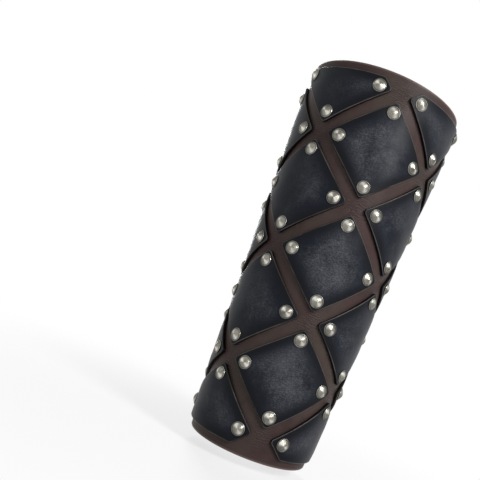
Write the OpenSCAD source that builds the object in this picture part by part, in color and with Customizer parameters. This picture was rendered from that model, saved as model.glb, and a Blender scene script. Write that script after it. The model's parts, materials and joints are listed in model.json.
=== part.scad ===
// Leather bracer for the left or the right forearm: a tapered leather sleeve with riveted plates,
// open along the inner forearm and laced together there.
// Z runs from the wrist end up to the elbow end. The plates face -Y and the lacing faces +Y.

/* [Leather sleeve] */
// Length of the sleeve from the wrist end to the elbow end
sleeve_len = 252; // [220:2:290]
// Width of the sleeve at the elbow end, outside the leather
elbow_w = 104; // [96:1:114]
// Depth of the sleeve at the elbow end, outside the leather
elbow_d = 97; // [90:1:106]
// Width of the sleeve at the wrist end, outside the leather
wrist_w = 78; // [72:1:86]
// Thickness of the base leather
base_t = 2.8; // [2.2:0.1:3.6]

/* [Flaps and lacing edges] */
// Gap between the two lacing edges at the elbow end, measured round the section
elbow_gap = 40; // [32:1:50]
// Gap between the two lacing edges at the wrist end, measured round the section
wrist_gap = 20; // [16:1:30]
// Distance round the leather from the front to the start of the slanted cut at the elbow end
elbow_cut_from = 80; // [74:1:90]
// Distance round the leather from the front to the start of the slanted cut at the wrist end
wrist_cut_from = 72; // [66:1:80]
// Slope of the slanted cut at the elbow end
elbow_cut_slope = 0.57; // [0.4:0.01:0.7]
// Slope of the slanted cut at the wrist end
wrist_cut_slope = 1.14; // [0.8:0.01:1.2]
// Length over which a slanted cut bends into the straight end
cut_bend = 16; // [10:1:20]
// Radius of the four corners at the lacing edges
flap_corner_r = 4.5; // [3:0.5:7]
// Width of the bend line that is left open between the front leather and a flap
bend_gap = 1.1; // [1:0.1:1.6]
// Distance from the outer half plates' straight sides to the front leather's edge
bend_margin = 0.8; // [0.5:0.1:1.5]

/* [Plates] */
// Distance between two columns of plates
column_pitch = 39.5; // [38:0.5:41]
// Distance between two rows of plates
row_pitch = 75; // [72:0.5:78]
// Width of the channels between the plates
channel = 7.5; // [6:0.5:9]
// Thickness of the plates
plate_t = 2.2; // [1.6:0.1:3]
// Radius of the plates' corners
plate_corner_r = 2.5; // [1.5:0.5:3.5]
// Distance from the half plates at the two ends to the end of the leather
end_margin = 5.5; // [4.5:0.5:7]
// Height of the lattice's centre above the middle of the sleeve
lattice_lift = 1.5; // [0:0.5:3]
// Reach of the outer half plates past the middle of their diamonds, at the elbow end
elbow_reach = 5; // [3:0.5:6]
// Reach of the outer half plates past the middle of their diamonds, at the wrist end
wrist_reach = 1; // [0.5:0.5:3]

/* [Rivets] */
// Diameter of the rivets' domed caps
cap_d = 8.4; // [7.5:0.1:9.5]
// Height of the caps
cap_h = 2.3; // [1.6:0.1:3]
// Height of the straight rim of the caps
cap_rim = 0.5; // [0.3:0.1:0.8]
// Diameter of the rivets' shanks
shank_d = 3.4; // [2.8:0.1:4]
// Diameter of the hollow in the set end of the shanks
shank_bore_d = 2; // [1.4:0.1:2.2]
// Diameter of the rolled ring at the set end
set_d = 6; // [5:0.1:6.6]
// Height of the rolled ring
set_h = 0.9; // [0.6:0.1:1.2]
// Distance from a plate's side corner to its rivet
side_rivet_inset = 8.6; // [8:0.1:9.4]
// Distance from a plate's upper or lower corner to its rivet
tip_rivet_inset = 7.5; // [7.2:0.1:8.4]
// Distance from an outer half plate's straight side to its two rivets
side_inset = 7; // [6.5:0.1:8]

/* [Eyelets] */
// Number of eyelets in each lacing edge
eyelet_count = 6; // [4:1:6]
// Distance between two eyelets
eyelet_pitch = 33.6; // [30:0.2:34]
// Distance along the lacing edge from its elbow end to the first eyelet
eyelet_first = 8; // [7:0.5:12]
// Distance from the lacing edge to the row of eyelets
eyelet_inset = 13; // [11:0.5:15]
// Inner diameter of the eyelets
eyelet_bore_d = 6.3; // [5.6:0.1:6.8]
// Wall of the eyelets' tubes
eyelet_wall = 0.4; // [0.3:0.05:0.6]
// Diameter of the eyelets' outer flanges
eyelet_flange_d = 9.8; // [9:0.1:11]
// Height of the eyelets' outer flanges
eyelet_flange_h = 1.1; // [0.8:0.1:1.4]
// Diameter of the washers inside the flaps
washer_d = 10.4; // [9.8:0.1:11.4]
// Thickness of the washers
washer_t = 0.5; // [0.4:0.1:0.8]
// Diameter of the eyelets' rolled ends over the washers
roll_d = 8.6; // [8.2:0.1:9.2]
// Height of the rolled ends
roll_h = 0.6; // [0.4:0.1:0.8]

/* [Lace] */
// Width of the flat lace
lace_w = 8; // [6:0.5:9]
// Thickness of the flat lace
lace_t = 1.3; // [1:0.1:1.6]
// Width of the lace where an eyelet bunches it
bunch_w = 4.4; // [4:0.1:4.8]
// Thickness of the lace where an eyelet bunches it
bunch_t = 2.4; // [2:0.1:2.6]
// Length of the bow's upper loop
loop_up_len = 36; // [26:1:40]
// Length of the bow's side loop
loop_side_len = 42; // [30:1:44]
// Length of the bow's side tail
tail_side_len = 41; // [30:1:44]
// Length of the bow's lower tail
tail_down_len = 38; // [30:1:40]
// Length of the knot across the gap
knot_w = 12; // [10:0.5:13]
// Height of the knot along the gap
knot_h = 12; // [9:0.5:13]
// Thickness of the knot
knot_t = 6; // [5:0.5:7]

/* [Fits] */
// Clearance round a shank or an eyelet's tube in its hole
hole_play = 0.1; // [0.05:0.01:0.2]
// Clearance under the rolled rings of the rivets, where the leather curves
set_play = 0.3; // [0.25:0.01:0.4]
// Clearance under the eyelets' washers, where the leather curves
washer_play = 0.65; // [0.6:0.01:0.8]
// Clearance under a flange that rests on the curved outside of a flap
flange_play = 0.02; // [0.01:0.01:0.05]
// Clearance between the lace and what it lies on or passes
lace_play = 0.35; // [0.3:0.05:0.6]
// Clearance added where the lace crosses a flange, because the flap curves away there
flange_crossing_play = 0.4; // [0.35:0.01:0.6]

/* [Hidden] */

// Colours
leather_brown = [0.24, 0.20, 0.19];
plate_navy = [0.11, 0.12, 0.16];
nickel = [0.72, 0.71, 0.66];
antique_nickel = [0.62, 0.60, 0.53];
lace_brown = [0.25, 0.21, 0.19];

// The section is an oval cut into flat facets, and the sleeve is a cone over it.
// Every sheet of leather follows the same facets, so sheets lie face to face.
facet_step = 5;
half_facets = 180 / facet_step;
half_w = elbow_w / 2;
half_d = elbow_d / 2;
apex_h = sleeve_len * elbow_w / (elbow_w - wrist_w);
deg_per_rad = 180 / PI;
eps = 0.01;

function unit(v) = v / norm(v);
function corner_of(i) = [half_w * sin(i * facet_step), -half_d * cos(i * facet_step)];
function ray_of(i) = let (c = corner_of(i)) [c.x, c.y, apex_h];
function side_normal(i) = let (d = corner_of(i + 1) - corner_of(i)) unit([d.y, -d.x]);
function mitre(i) =
    let (a = side_normal(i - 1), b = side_normal(i)) (a + b) / (1 + a * b);
function turn(a, b) = atan2(norm(cross(a, b)), a * b);

// Angle of each facet corner on the flat pattern, counted from the front
turns = [for (i = [0 : half_facets - 1]) turn(ray_of(i), ray_of(i + 1))];
angles = [for (i = 0, s = 0; i <= half_facets; s = s + (i < half_facets ? turns[i] : 0), i = i + 1) s];
back_angle = angles[half_facets];
ray_table = [for (i = [0 : half_facets]) [angles[i], norm(ray_of(i))]];
x_table = [for (i = [0 : half_facets]) [angles[i], corner_of(i).x]];
y_table = [for (i = [0 : half_facets]) [angles[i], corner_of(i).y]];
nx_table = [for (i = [0 : half_facets]) [angles[i], mitre(i).x]];
ny_table = [for (i = [0 : half_facets]) [angles[i], mitre(i).y]];

// Distances from the cone's apex along the front
elbow_r = norm([half_d, apex_h]);
wrist_r = elbow_r * wrist_w / elbow_w;
middle_r = (elbow_r + wrist_r) / 2;

// A point of the sleeve: its angle on the flat pattern, its distance from the apex,
// and its height over the outer face of the base leather
function at(angle, r, h) =
    let (
        a = abs(angle),
        side = angle < 0 ? -1 : 1,
        k = r / lookup(a, ray_table)
    )
    [
        side * (k * lookup(a, x_table) + h * lookup(a, nx_table)),
        k * lookup(a, y_table) + h * lookup(a, ny_table),
        apex_h * (k - 1) + sleeve_len
    ];

// Flat patterns are drawn as points [across, distance from the apex along the front line]
function flat(u, w) = [u, middle_r + w];
function polar(angle, r) = [r * sin(angle), r * cos(angle)];
function angle_of(p) = atan2(p.x, p.y);
function on_sleeve(p, h) = at(angle_of(p), norm(p), h);
function arc_angle(u, r) = u / r * deg_per_rad;

// The normal of the facet at a point of the flat pattern
function facet_of(a) = max([for (i = [0 : half_facets - 1]) if (angles[i] <= a) i]);
function facet_normal(p) =
    let (
        a = abs(angle_of(p)),
        side = p.x < 0 ? -1 : 1,
        i = facet_of(a),
        d = corner_of(i + 1) - corner_of(i),
        n = unit(cross([d.x, d.y, 0], ray_of(i)))
    )
    [side * n.x, n.y, n.z];

module on_facet(p, h) {
    n = facet_normal(p);
    translate(on_sleeve(p, h)) rotate([0, acos(n.z), atan2(n.y, n.x)]) children();
}

// Ends of the leather, then cut back towards the lacing edges. The elbow end runs level round
// the sleeve, and the wrist end is straight on the flat pattern.
function cut_back(u, from, slope) =
    let (v = u - from)
    v <= 0 ? 0 : v < cut_bend ? slope * v * v / (2 * cut_bend) : slope * (v - cut_bend / 2);
function elbow_end_r(angle) =
    elbow_r - cut_back(abs(angle) / deg_per_rad * elbow_r, elbow_cut_from, elbow_cut_slope);
function wrist_end_r(angle) =
    wrist_r / cos(angle) + cut_back(abs(angle) / deg_per_rad * wrist_r, wrist_cut_from, wrist_cut_slope);

// Lines on the flat pattern, as a distance from the front line at a height over the middle
function reach(w) =
    wrist_reach + (elbow_reach - wrist_reach) * (w / (elbow_r - wrist_r) + 0.5);
function side_line(w) = 2 * column_pitch + reach(w);
function bend_line(w) = side_line(w) + bend_margin + bend_gap / 2;
lace_edge_top = polar(back_angle - arc_angle(elbow_gap / 2, elbow_r), elbow_r);
lace_edge_bottom = polar(back_angle - arc_angle(wrist_gap / 2, wrist_r), wrist_r);
edge_dir = unit(lace_edge_top - lace_edge_bottom);
function edge_at(s) = lace_edge_bottom + edge_dir * s;
function edge_to_elbow(s, n) =
    n == 0 ? s :
    let (p = edge_at(s)) edge_to_elbow(s + elbow_end_r(angle_of(p)) - norm(p), n - 1);
function edge_to_wrist(s, n) =
    n == 0 ? s :
    let (p = edge_at(s)) edge_to_wrist(s + wrist_end_r(angle_of(p)) - norm(p), n - 1);
solve_steps = 12;
edge_top_s = edge_to_elbow(norm(lace_edge_top - lace_edge_bottom), solve_steps);
edge_bottom_s = edge_to_wrist(0, solve_steps);

// Rounds a corner b between a and c of a flat outline
corner_points = 5;
function round_corner(a, b, c, r) =
    let (
        u = unit(a - b),
        v = unit(c - b),
        half = acos(u * v) / 2,
        m = b + unit(u + v) * r / sin(half),
        from = atan2((b + u * r / tan(half) - m).y, (b + u * r / tan(half) - m).x),
        to = atan2((b + v * r / tan(half) - m).y, (b + v * r / tan(half) - m).x),
        sweep = (to - from + 540) % 360 - 180
    )
    [for (i = [0 : corner_points - 1]) m + polar(90 - from - sweep * i / (corner_points - 1), r)];
function rounded(p, r) =
    let (n = len(p)) [for (i = [0 : n - 1]) each round_corner(p[(i + n - 1) % n], p[i], p[(i + 1) % n], r)];

// Cuts a flat outline along rays from the apex: [angle, nearest distance, farthest distance]
slice_merge = 0.008;
tip_trim = 0.0015;
function sorted(v) =
    len(v) <= 1 ? v :
    let (m = v[floor(len(v) / 2)])
    concat(
        sorted([for (x = v) if (x < m) x]),
        [for (x = v) if (x == m) x],
        sorted([for (x = v) if (x > m) x])
    );
function spaced(v) =
    [for (i = [0 : len(v) - 1]) if (i == 0 || i == len(v) - 1 || (v[i] - v[i - 1] > slice_merge
        && v[len(v) - 1] - v[i] > slice_merge)) v[i]];
function crossings(p, a) =
    let (d = polar(a, 1), n = len(p))
    [for (i = [0 : n - 1])
        let (q = p[(i + 1) % n], s = d.x * p[i].y - d.y * p[i].x, e = d.x * q.y - d.y * q.x)
        if (s * e <= 0 && s != e) norm(p[i] + (q - p[i]) * s / (s - e))];
function slices(p) =
    let (
        a = [for (q = p) angle_of(q)],
        low = min(a) + tip_trim,
        high = max(a) - tip_trim,
        grid = [for (i = [-half_facets : half_facets]) (i < 0 ? -1 : 1) * angles[abs(i)]],
        all = sorted([for (x = concat([low, high], a, grid)) if (x >= low && x <= high) x])
    )
    [for (x = spaced(all)) let (c = crossings(p, x)) [x, min(c), max(c)]];

// A sheet of leather between two heights over the base leather's outer face
module sheet(outline, low_h, high_h) {
    s = slices(outline);
    last = 4 * (len(s) - 1);
    points = [for (c = s) each [
        at(c[0], c[1], high_h), at(c[0], c[2], high_h), at(c[0], c[1], low_h), at(c[0], c[2], low_h)
    ]];
    faces = concat(
        [[2, 3, 1, 0], [last, last + 1, last + 3, last + 2]],
        [for (a = [0 : 4 : last - 4]) each let (b = a + 4) [
            [a, a + 1, b + 1, b],
            [a + 2, b + 2, b + 3, a + 3],
            [a + 1, a + 3, b + 3, b + 1],
            [a, b, b + 2, a + 2]
        ]]
    );
    polyhedron(points, faces);
}

// Outlines of the base leather's three zones
function end_corner_elbow(u) =
    let (a = asin(u / elbow_r), r = elbow_end_r(a)) polar(asin(u / r), r);
function end_corner_wrist(u) =
    let (a = asin(u / wrist_r), r = wrist_end_r(a)) polar(asin(u / r), r);
front_w = (elbow_r - wrist_r) / 2;
front_elbow_corner = end_corner_elbow(bend_line(front_w) - bend_gap / 2);
front_wrist_corner = end_corner_wrist(bend_line(-front_w) - bend_gap / 2);
flap_elbow_corner = end_corner_elbow(bend_line(front_w) + bend_gap / 2);
flap_wrist_corner = end_corner_wrist(bend_line(-front_w) + bend_gap / 2);
flap_tip_elbow = edge_at(edge_top_s);
flap_tip_wrist = edge_at(edge_bottom_s);
function mirrored(p) = [for (q = p) [-q.x, q.y]];
function reversed(p) = [for (i = [len(p) - 1 : -1 : 0]) p[i]];
function end_points(low, high) = [for (a = angles) if (a > low && a < high) a];
corner_clear = arc_angle(flap_corner_r, wrist_r);

front_elbow_end = [
    for (a = end_points(-eps, angle_of(front_elbow_corner) - slice_merge)) polar(a, elbow_end_r(a))
];
front_wrist_end = [
    for (a = end_points(-eps, angle_of(front_wrist_corner) - slice_merge)) polar(a, wrist_end_r(a))
];
front_half = concat(front_wrist_end, [front_wrist_corner, front_elbow_corner], reversed(front_elbow_end));
front_outline = concat(front_half, reversed(mirrored(front_half)));

flap_wrist_end = [
    for (a = end_points(angle_of(flap_wrist_corner), angle_of(flap_tip_wrist) - corner_clear))
        polar(a, wrist_end_r(a))
];
flap_elbow_end = [
    for (a = end_points(angle_of(flap_elbow_corner), angle_of(flap_tip_elbow) - corner_clear))
        polar(a, elbow_end_r(a))
];
flap_outline = concat(
    [flap_wrist_corner],
    flap_wrist_end,
    round_corner(flap_wrist_end[len(flap_wrist_end) - 1], flap_tip_wrist, flap_tip_elbow, flap_corner_r),
    round_corner(flap_tip_wrist, flap_tip_elbow, flap_elbow_end[len(flap_elbow_end) - 1], flap_corner_r),
    reversed(flap_elbow_end),
    [flap_elbow_corner]
);

// Lattice of plates: the half diagonals of a diamond, less its share of the channels
lattice_edge = norm([row_pitch / 2, column_pitch]);
plate_a = column_pitch - channel / 2 * lattice_edge / (row_pitch / 2);
plate_b = row_pitch / 2 - channel / 2 * lattice_edge / column_pitch;
function row_w(row) = lattice_lift + row * row_pitch;
function elbow_cut_w(u) = sqrt(pow(elbow_r - end_margin, 2) - u * u) - middle_r;
wrist_cut_w = wrist_r + end_margin - middle_r;
cut_probe = 0.8;

function moved(p, u, w) = [for (q = p) flat(q.x + u, q.y + w)];
function whole_plate(column, row) =
    moved([[0, -plate_b], [plate_a, 0], [0, plate_b], [-plate_a, 0]], column * column_pitch, row_w(row));
function elbow_half_plate(column, row) =
    let (
        u = column * column_pitch,
        w = row_w(row),
        right = elbow_cut_w(u + cut_probe * plate_a) - w,
        left = elbow_cut_w(u - cut_probe * plate_a) - w
    )
    moved([
        [0, -plate_b], [plate_a, 0], [plate_a * (1 - right / plate_b), right],
        [-plate_a * (1 - left / plate_b), left], [-plate_a, 0]
    ], u, w);
function wrist_half_plate(column, row) =
    let (
        u = column * column_pitch,
        w = row_w(row),
        cut = w - wrist_cut_w,
        half = plate_a * (1 - cut / plate_b)
    )
    moved([[0, plate_b], [-plate_a, 0], [-half, -cut], [half, -cut], [plate_a, 0]], u, w);
function side_half_plate(row) =
    let (
        w = row_w(row),
        high = reach(w + plate_b),
        low = reach(w - plate_b)
    )
    moved([
        [-plate_a, 0], [0, -plate_b], [low, -plate_b * (1 - low / plate_a)],
        [high, plate_b * (1 - high / plate_a)], [0, plate_b]
    ], 2 * column_pitch, w);

// Rivets of each kind of plate, as points of the flat pattern
side_rivet = [plate_a - side_rivet_inset, 0];
tip_rivet = [0, plate_b - tip_rivet_inset];
function whole_rivets(column, row) =
    moved([side_rivet, tip_rivet, -side_rivet, -tip_rivet], column * column_pitch, row_w(row));
function elbow_rivets(column, row) =
    moved([side_rivet, -side_rivet, -tip_rivet], column * column_pitch, row_w(row));
function wrist_rivets(column, row) =
    moved([side_rivet, -side_rivet, tip_rivet], column * column_pitch, row_w(row));
function side_rivets(row) =
    let (
        w = row_w(row),
        u = reach(w) - side_inset,
        v = plate_b * (1 - abs(u) / plate_a) - tip_rivet_inset
    )
    moved([-side_rivet, [u, v], [u, -v]], 2 * column_pitch, w);

inner_rows = [1.5, 0.5, -0.5, -1.5];
centre_rows = [1, 0, -1];
centre_rivets = [for (row = centre_rows) each whole_rivets(0, row)];
inner_rivets = concat(
    elbow_rivets(1, inner_rows[0]), whole_rivets(1, inner_rows[1]),
    whole_rivets(1, inner_rows[2]), wrist_rivets(1, inner_rows[3])
);
outer_rivets = [for (row = centre_rows) each side_rivets(row)];
all_rivets = concat(
    centre_rivets, inner_rivets, mirrored(inner_rivets), outer_rivets, mirrored(outer_rivets)
);

// Eyelets of the right flap, as points of the flat pattern, from the elbow down
edge_side = [-edge_dir.y, edge_dir.x];
function eyelet_at(i) = edge_at(edge_top_s - eyelet_first - i * eyelet_pitch) + edge_side * eyelet_inset;
eyelet_points = [for (i = [0 : eyelet_count - 1]) eyelet_at(i)];

round_fn = 32;
hole_reach = 4;

module rivet_holes(points) {
    for (p = points)
        on_facet(p, plate_t)
            translate([0, 0, -plate_t - base_t - hole_reach])
                cylinder(h = plate_t + base_t + 2 * hole_reach, d = shank_d + 2 * hole_play, $fn = round_fn);
}

// A semi-tubular rivet, standing on z = 0 with its shank down
dome_points = 6;
module rivet() {
    cap_r = cap_d / 2;
    shank_r = shank_d / 2;
    bore_r = shank_bore_d / 2;
    set_r = set_d / 2;
    ring_z = -plate_t - base_t - set_play;
    dome_h = cap_h - cap_rim;
    bore_top = -plate_t - base_t / 2;
    rotate_extrude($fn = round_fn)
        polygon(concat(
            [[0, bore_top], [bore_r, bore_top], [bore_r, ring_z - set_h]],
            [[set_r - set_h / 2, ring_z - set_h], [set_r, ring_z - set_h / 2], [set_r, ring_z]],
            [[shank_r, ring_z], [shank_r, 0], [cap_r, 0]],
            [for (i = [0 : dome_points]) let (a = 90 * i / dome_points)
                [cap_r * cos(a), cap_rim + dome_h * sin(a)]]
        ));
}

module rivets(points) {
    color(nickel)
        for (p = points)
            on_facet(p, plate_t) rivet();
}

module plate(outline) {
    color(plate_navy)
        difference() {
            sheet(rounded(outline, plate_corner_r), 0, plate_t);
            children();
        }
}

module base_leather_front() {
    color(leather_brown)
        difference() {
            sheet(front_outline, -base_t, 0);
            rivet_holes(all_rivets);
        }
}

module flap() {
    color(leather_brown)
        difference() {
            sheet(flap_outline, -base_t, 0);
            for (p = eyelet_points)
                on_facet(p, 0)
                    translate([0, 0, -base_t - hole_reach])
                        cylinder(
                            h = base_t + 2 * hole_reach,
                            d = eyelet_bore_d + 2 * eyelet_wall + 2 * hole_play,
                            $fn = round_fn
                        );
        }
}

// An eyelet: a tube with a rolled flange outside and a rolled end over the washer inside
module eyelet() {
    bore_r = eyelet_bore_d / 2;
    tube_r = bore_r + eyelet_wall;
    flange_r = eyelet_flange_d / 2;
    roll_r = roll_d / 2;
    washer_z = -base_t - washer_play - washer_t;
    end_z = washer_z - hole_play - roll_h;
    rotate_extrude($fn = round_fn)
        polygon([
            [bore_r, end_z], [roll_r - roll_h / 2, end_z], [roll_r, end_z + roll_h / 2],
            [roll_r, end_z + roll_h], [tube_r, end_z + roll_h], [tube_r, flange_play],
            [flange_r, flange_play], [flange_r, eyelet_flange_h / 3],
            [flange_r - (flange_r - tube_r) / 3, eyelet_flange_h],
            [tube_r, eyelet_flange_h], [bore_r, eyelet_flange_h / 2]
        ]);
}

module eyelets() {
    color(antique_nickel)
        for (p = eyelet_points)
            on_facet(p, 0) eyelet();
}

module washers() {
    color(antique_nickel)
        for (p = eyelet_points)
            on_facet(p, 0)
                translate([0, 0, -base_t - washer_play - washer_t])
                    difference() {
                        cylinder(h = washer_t, d = washer_d, $fn = round_fn);
                        translate([0, 0, -washer_t])
                            cylinder(
                                h = 3 * washer_t,
                                d = eyelet_bore_d + 2 * eyelet_wall + 2 * hole_play,
                                $fn = round_fn
                            );
                    }
}

// The lace. A station is [place, direction across the lace, width, thickness].
// A strand leaves an eyelet outside, runs over its flap's edge, crosses the gap, passes under
// the other flap and comes up through the next lower eyelet there.
over_h = lace_t / 2 + lace_play;
under_h = -base_t - over_h;
over_flange_h = eyelet_flange_h + over_h + flange_crossing_play;
washer_stack = washer_play + washer_t + hole_play + roll_h;
under_roll_h = -base_t - washer_stack - lace_play - lace_t / 2;
under_bunch_h = -base_t - washer_stack - 2 * lace_play;
flange_step = eyelet_flange_d / 2;
rest_gap = 4.5;
rest_step = eyelet_flange_d / 2 + rest_gap;
edge_step = lace_w * 0.3;
strand_rise = (lace_t + lace_play) / 2 + 0.3;

function half_gap(r) = let (p = edge_at(r - wrist_r)) (back_angle - angle_of(p)) / deg_per_rad * r;
function gap_point(side, g, r, h) = at(side * (back_angle - arc_angle(g, r)), r, h);
function out_normal(p) = unit([p.x / (half_w * half_w), p.y / (half_d * half_d), 0]);
function station(p, dir, w, t) = [p, unit(cross(out_normal(p), dir)), w, t];

function eyelet_place(side, i, h) = let (p = eyelet_points[i]) at(side * angle_of(p), norm(p), h);
function eyelet_r(i) = norm(eyelet_points[i]);
function eyelet_g(i) = (back_angle - angle_of(eyelet_points[i])) / deg_per_rad * eyelet_r(i);

// One crossing from the eyelet i of a side to the eyelet i + 1 of the other side
function crossing(side, i) =
    let (
        g0 = eyelet_g(i),
        g1 = eyelet_g(i + 1),
        r0 = eyelet_r(i),
        r1 = eyelet_r(i + 1),
        slope = (r1 - r0) / (g0 + g1),
        dir = unit(eyelet_place(-1, side > 0 ? i + 1 : i, 0) - eyelet_place(1, side > 0 ? i : i + 1, 0)),
        out0 = half_gap(r0 + slope * (g0 - half_gap(r0))) - edge_step,
        out1 = half_gap(r1 - slope * (g1 - half_gap(r1))) - edge_step,
        over = gap_point(side, out0, r0 + slope * (g0 - out0), over_h),
        under = gap_point(-side, out1, r1 - slope * (g1 - out1), under_h),
        third = (under - over) / 3,
        lift = [0, side * strand_rise, 0]
    )
    [
        station(eyelet_place(side, i, over_flange_h), dir, bunch_w, bunch_t),
        station(gap_point(side, g0 - flange_step, r0 + slope * flange_step, over_flange_h), dir,
            (lace_w + bunch_w) / 2, lace_t),
        station(gap_point(side, g0 - rest_step, r0 + slope * rest_step, over_h), dir, lace_w, lace_t),
        station(over, dir, lace_w, lace_t),
        station(over + third + lift, dir, lace_w, lace_t),
        station(over + 2 * third + lift, dir, lace_w, lace_t),
        station(under, dir, lace_w, lace_t),
        station(gap_point(-side, g1 - flange_step, r1 - slope * flange_step, under_roll_h), dir,
            (lace_w + bunch_w) / 2, lace_t),
        station(eyelet_place(-side, i + 1, under_bunch_h), dir, bunch_w, bunch_t)
    ];
function strand(side) =
    [for (i = [0 : eyelet_count - 2]) each crossing(i % 2 == 0 ? side : -side, i)];

// The knot stands over the gap, level with the last two eyelets
last_eyelet = eyelet_count - 1;
last_r = eyelet_r(last_eyelet);
knot_seat = gap_point(1, half_gap(last_r), last_r, 0);
knot_place = [0, knot_seat.y + knot_t / 2, knot_seat.z];
last_side = last_eyelet % 2 == 0 ? 1 : -1;
band_dir = [-1, 0, 0];

function to_knot(side) =
    let (g = eyelet_g(last_eyelet))
    [
        station(eyelet_place(side, last_eyelet, over_flange_h), band_dir, bunch_w, bunch_t),
        station(gap_point(side, g - flange_step, last_r, over_flange_h), band_dir,
            (lace_w + bunch_w) / 2, lace_t),
        station(gap_point(side, g - rest_step, last_r, over_h), band_dir, lace_w, lace_t),
        station(gap_point(side, half_gap(last_r) - edge_step, last_r, over_h), band_dir, lace_w, lace_t),
        [knot_place + [side * knot_w * 0.4, -knot_t / 4, 0], [0, 0, 1], lace_w, lace_t]
    ];

function turned(s) = [for (i = [len(s) - 1 : -1 : 0]) s[i]];
bar_step = flange_step + 1;
function bar_end(side) = gap_point(side, eyelet_g(0) - bar_step, eyelet_r(0), under_roll_h);
top_bar = [
    station(eyelet_place(1, 0, under_bunch_h), band_dir, bunch_w, bunch_t),
    station(bar_end(1), band_dir, lace_w, lace_t),
    station(bar_end(-1), band_dir, lace_w, lace_t),
    station(eyelet_place(-1, 0, under_bunch_h), band_dir, bunch_w, bunch_t)
];
lace_path = concat(
    turned(concat(strand(1), to_knot(last_side))),
    top_bar,
    strand(-1),
    to_knot(-last_side)
);

// Sweeps a flat band with chamfered edges along stations
band = [[1, 0.5], [0.9, 1], [-0.9, 1], [-1, 0.5], [-1, -0.5], [-0.9, -1], [0.9, -1], [1, -0.5]];
module swept(s) {
    n = len(s);
    m = len(band);
    rings = [for (i = [0 : n - 1])
        let (
            along = unit(s[min(i + 1, n - 1)][0] - s[max(i - 1, 0)][0]),
            up = unit(cross(along, s[i][1])),
            wide = cross(up, along)
        )
        [for (b = band) s[i][0] + wide * b.x * s[i][2] / 2 + up * b.y * s[i][3] / 2]];
    points = [for (ring = rings) each ring];
    faces = concat(
        [[for (j = [0 : m - 1]) j], [for (j = [m - 1 : -1 : 0]) (n - 1) * m + j]],
        [for (i = [0 : n - 2], j = [0 : m - 1]) let (a = i * m + j, b = i * m + (j + 1) % m)
            each [[a, a + m, b], [b, a + m, b + m]]]
    );
    polyhedron(points, faces);
}

// A loop or a tail leaves the knot over the sleeve, [across, towards the elbow],
// and a loop comes back under itself
loop_up_dir = unit([-0.10, 1]);
loop_side_dir = unit([-0.77, 0.64]);
tail_side_dir = unit([0.68, -0.73]);
tail_down_dir = unit([0.24, -0.97]);
// Share of the length, and height over a strand that rests on the leather
loop_shape = [
    [0.08, 1.2], [0.3, 4.6], [0.55, 5.9], [0.8, 5.6], [0.93, 4.6], [0.985, 3.4], [0.985, 2.2],
    [0.93, 1.2], [0.8, 0.6], [0.55, 0.5], [0.3, 0.6], [0.08, -0.4]
];
tail_shape = [[0.08, 0], [0.3, 1.1], [0.65, 0.8], [1, 0.5]];
function over_place(across, along, h) =
    let (r = last_r + along, side = across < 0 ? -1 : 1) gap_point(side, abs(across), r, over_h + h);
function bow_part(dir, length, shape) =
    [for (p = shape)
        let (
            v = dir * length * p[0],
            q = over_place(v[0], v[1], p[1]),
            ahead = over_place(v[0] + dir[0], v[1] + dir[1], p[1])
        )
        station(q, unit(ahead - q), lace_w, lace_t)];

module knot() {
    shape = [[-0.5, 0.7], [-0.36, 0.95], [0, 1], [0.36, 0.95], [0.5, 0.7]];
    swept([for (k = shape) [knot_place + [k[0] * knot_w, 0, 0], [0, 0, 1], k[1] * knot_h, k[1] * knot_t]]);
}

module lace() {
    color(lace_brown)
        union() {
            swept(lace_path);
            knot();
            swept(bow_part(loop_up_dir, loop_up_len, loop_shape));
            swept(bow_part(loop_side_dir, loop_side_len, loop_shape));
            swept(bow_part(tail_side_dir, tail_side_len, tail_shape));
            swept(bow_part(tail_down_dir, tail_down_len, tail_shape));
        }
}

module centre_plate(row) {
    plate(whole_plate(0, row)) rivet_holes(whole_rivets(0, row));
}

module inner_plate(i) {
    row = inner_rows[i];
    outline = i == 0 ? elbow_half_plate(1, row) : i == 3 ? wrist_half_plate(1, row) : whole_plate(1, row);
    holes = i == 0 ? elbow_rivets(1, row) : i == 3 ? wrist_rivets(1, row) : whole_rivets(1, row);
    plate(outline) rivet_holes(holes);
}

module outer_plate(i) {
    plate(side_half_plate(centre_rows[i])) rivet_holes(side_rivets(centre_rows[i]));
}

module left() {
    mirror([1, 0, 0]) children();
}

// Ends of the line that the right flap bends about, in the middle of the leather
bend_depth = -base_t / 2;
bend_top = on_sleeve(flat(bend_line(front_w), front_w), bend_depth);
bend_bottom = on_sleeve(flat(bend_line(-front_w), -front_w), bend_depth);
echo(bend_top = bend_top, bend_bottom = bend_bottom);

base_leather_front();
left() flap();  // flap_left
flap();  // flap_right
centre_plate(centre_rows[0]);  // plate_centre_1
centre_plate(centre_rows[1]);  // plate_centre_2
centre_plate(centre_rows[2]);  // plate_centre_3
left() inner_plate(0);  // plate_left_inner_1
left() inner_plate(1);  // plate_left_inner_2
left() inner_plate(2);  // plate_left_inner_3
left() inner_plate(3);  // plate_left_inner_4
inner_plate(0);  // plate_right_inner_1
inner_plate(1);  // plate_right_inner_2
inner_plate(2);  // plate_right_inner_3
inner_plate(3);  // plate_right_inner_4
left() outer_plate(0);  // plate_left_outer_1
left() outer_plate(1);  // plate_left_outer_2
left() outer_plate(2);  // plate_left_outer_3
outer_plate(0);  // plate_right_outer_1
outer_plate(1);  // plate_right_outer_2
outer_plate(2);  // plate_right_outer_3
rivets(centre_rivets);  // rivets_centre
left() rivets(inner_rivets);  // rivets_left_inner
rivets(inner_rivets);  // rivets_right_inner
left() rivets(outer_rivets);  // rivets_left_outer
rivets(outer_rivets);  // rivets_right_outer
left() eyelets();  // eyelets_left
eyelets();  // eyelets_right
left() washers();  // eyelet_washers_left
washers();  // eyelet_washers_right
lace();
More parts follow.
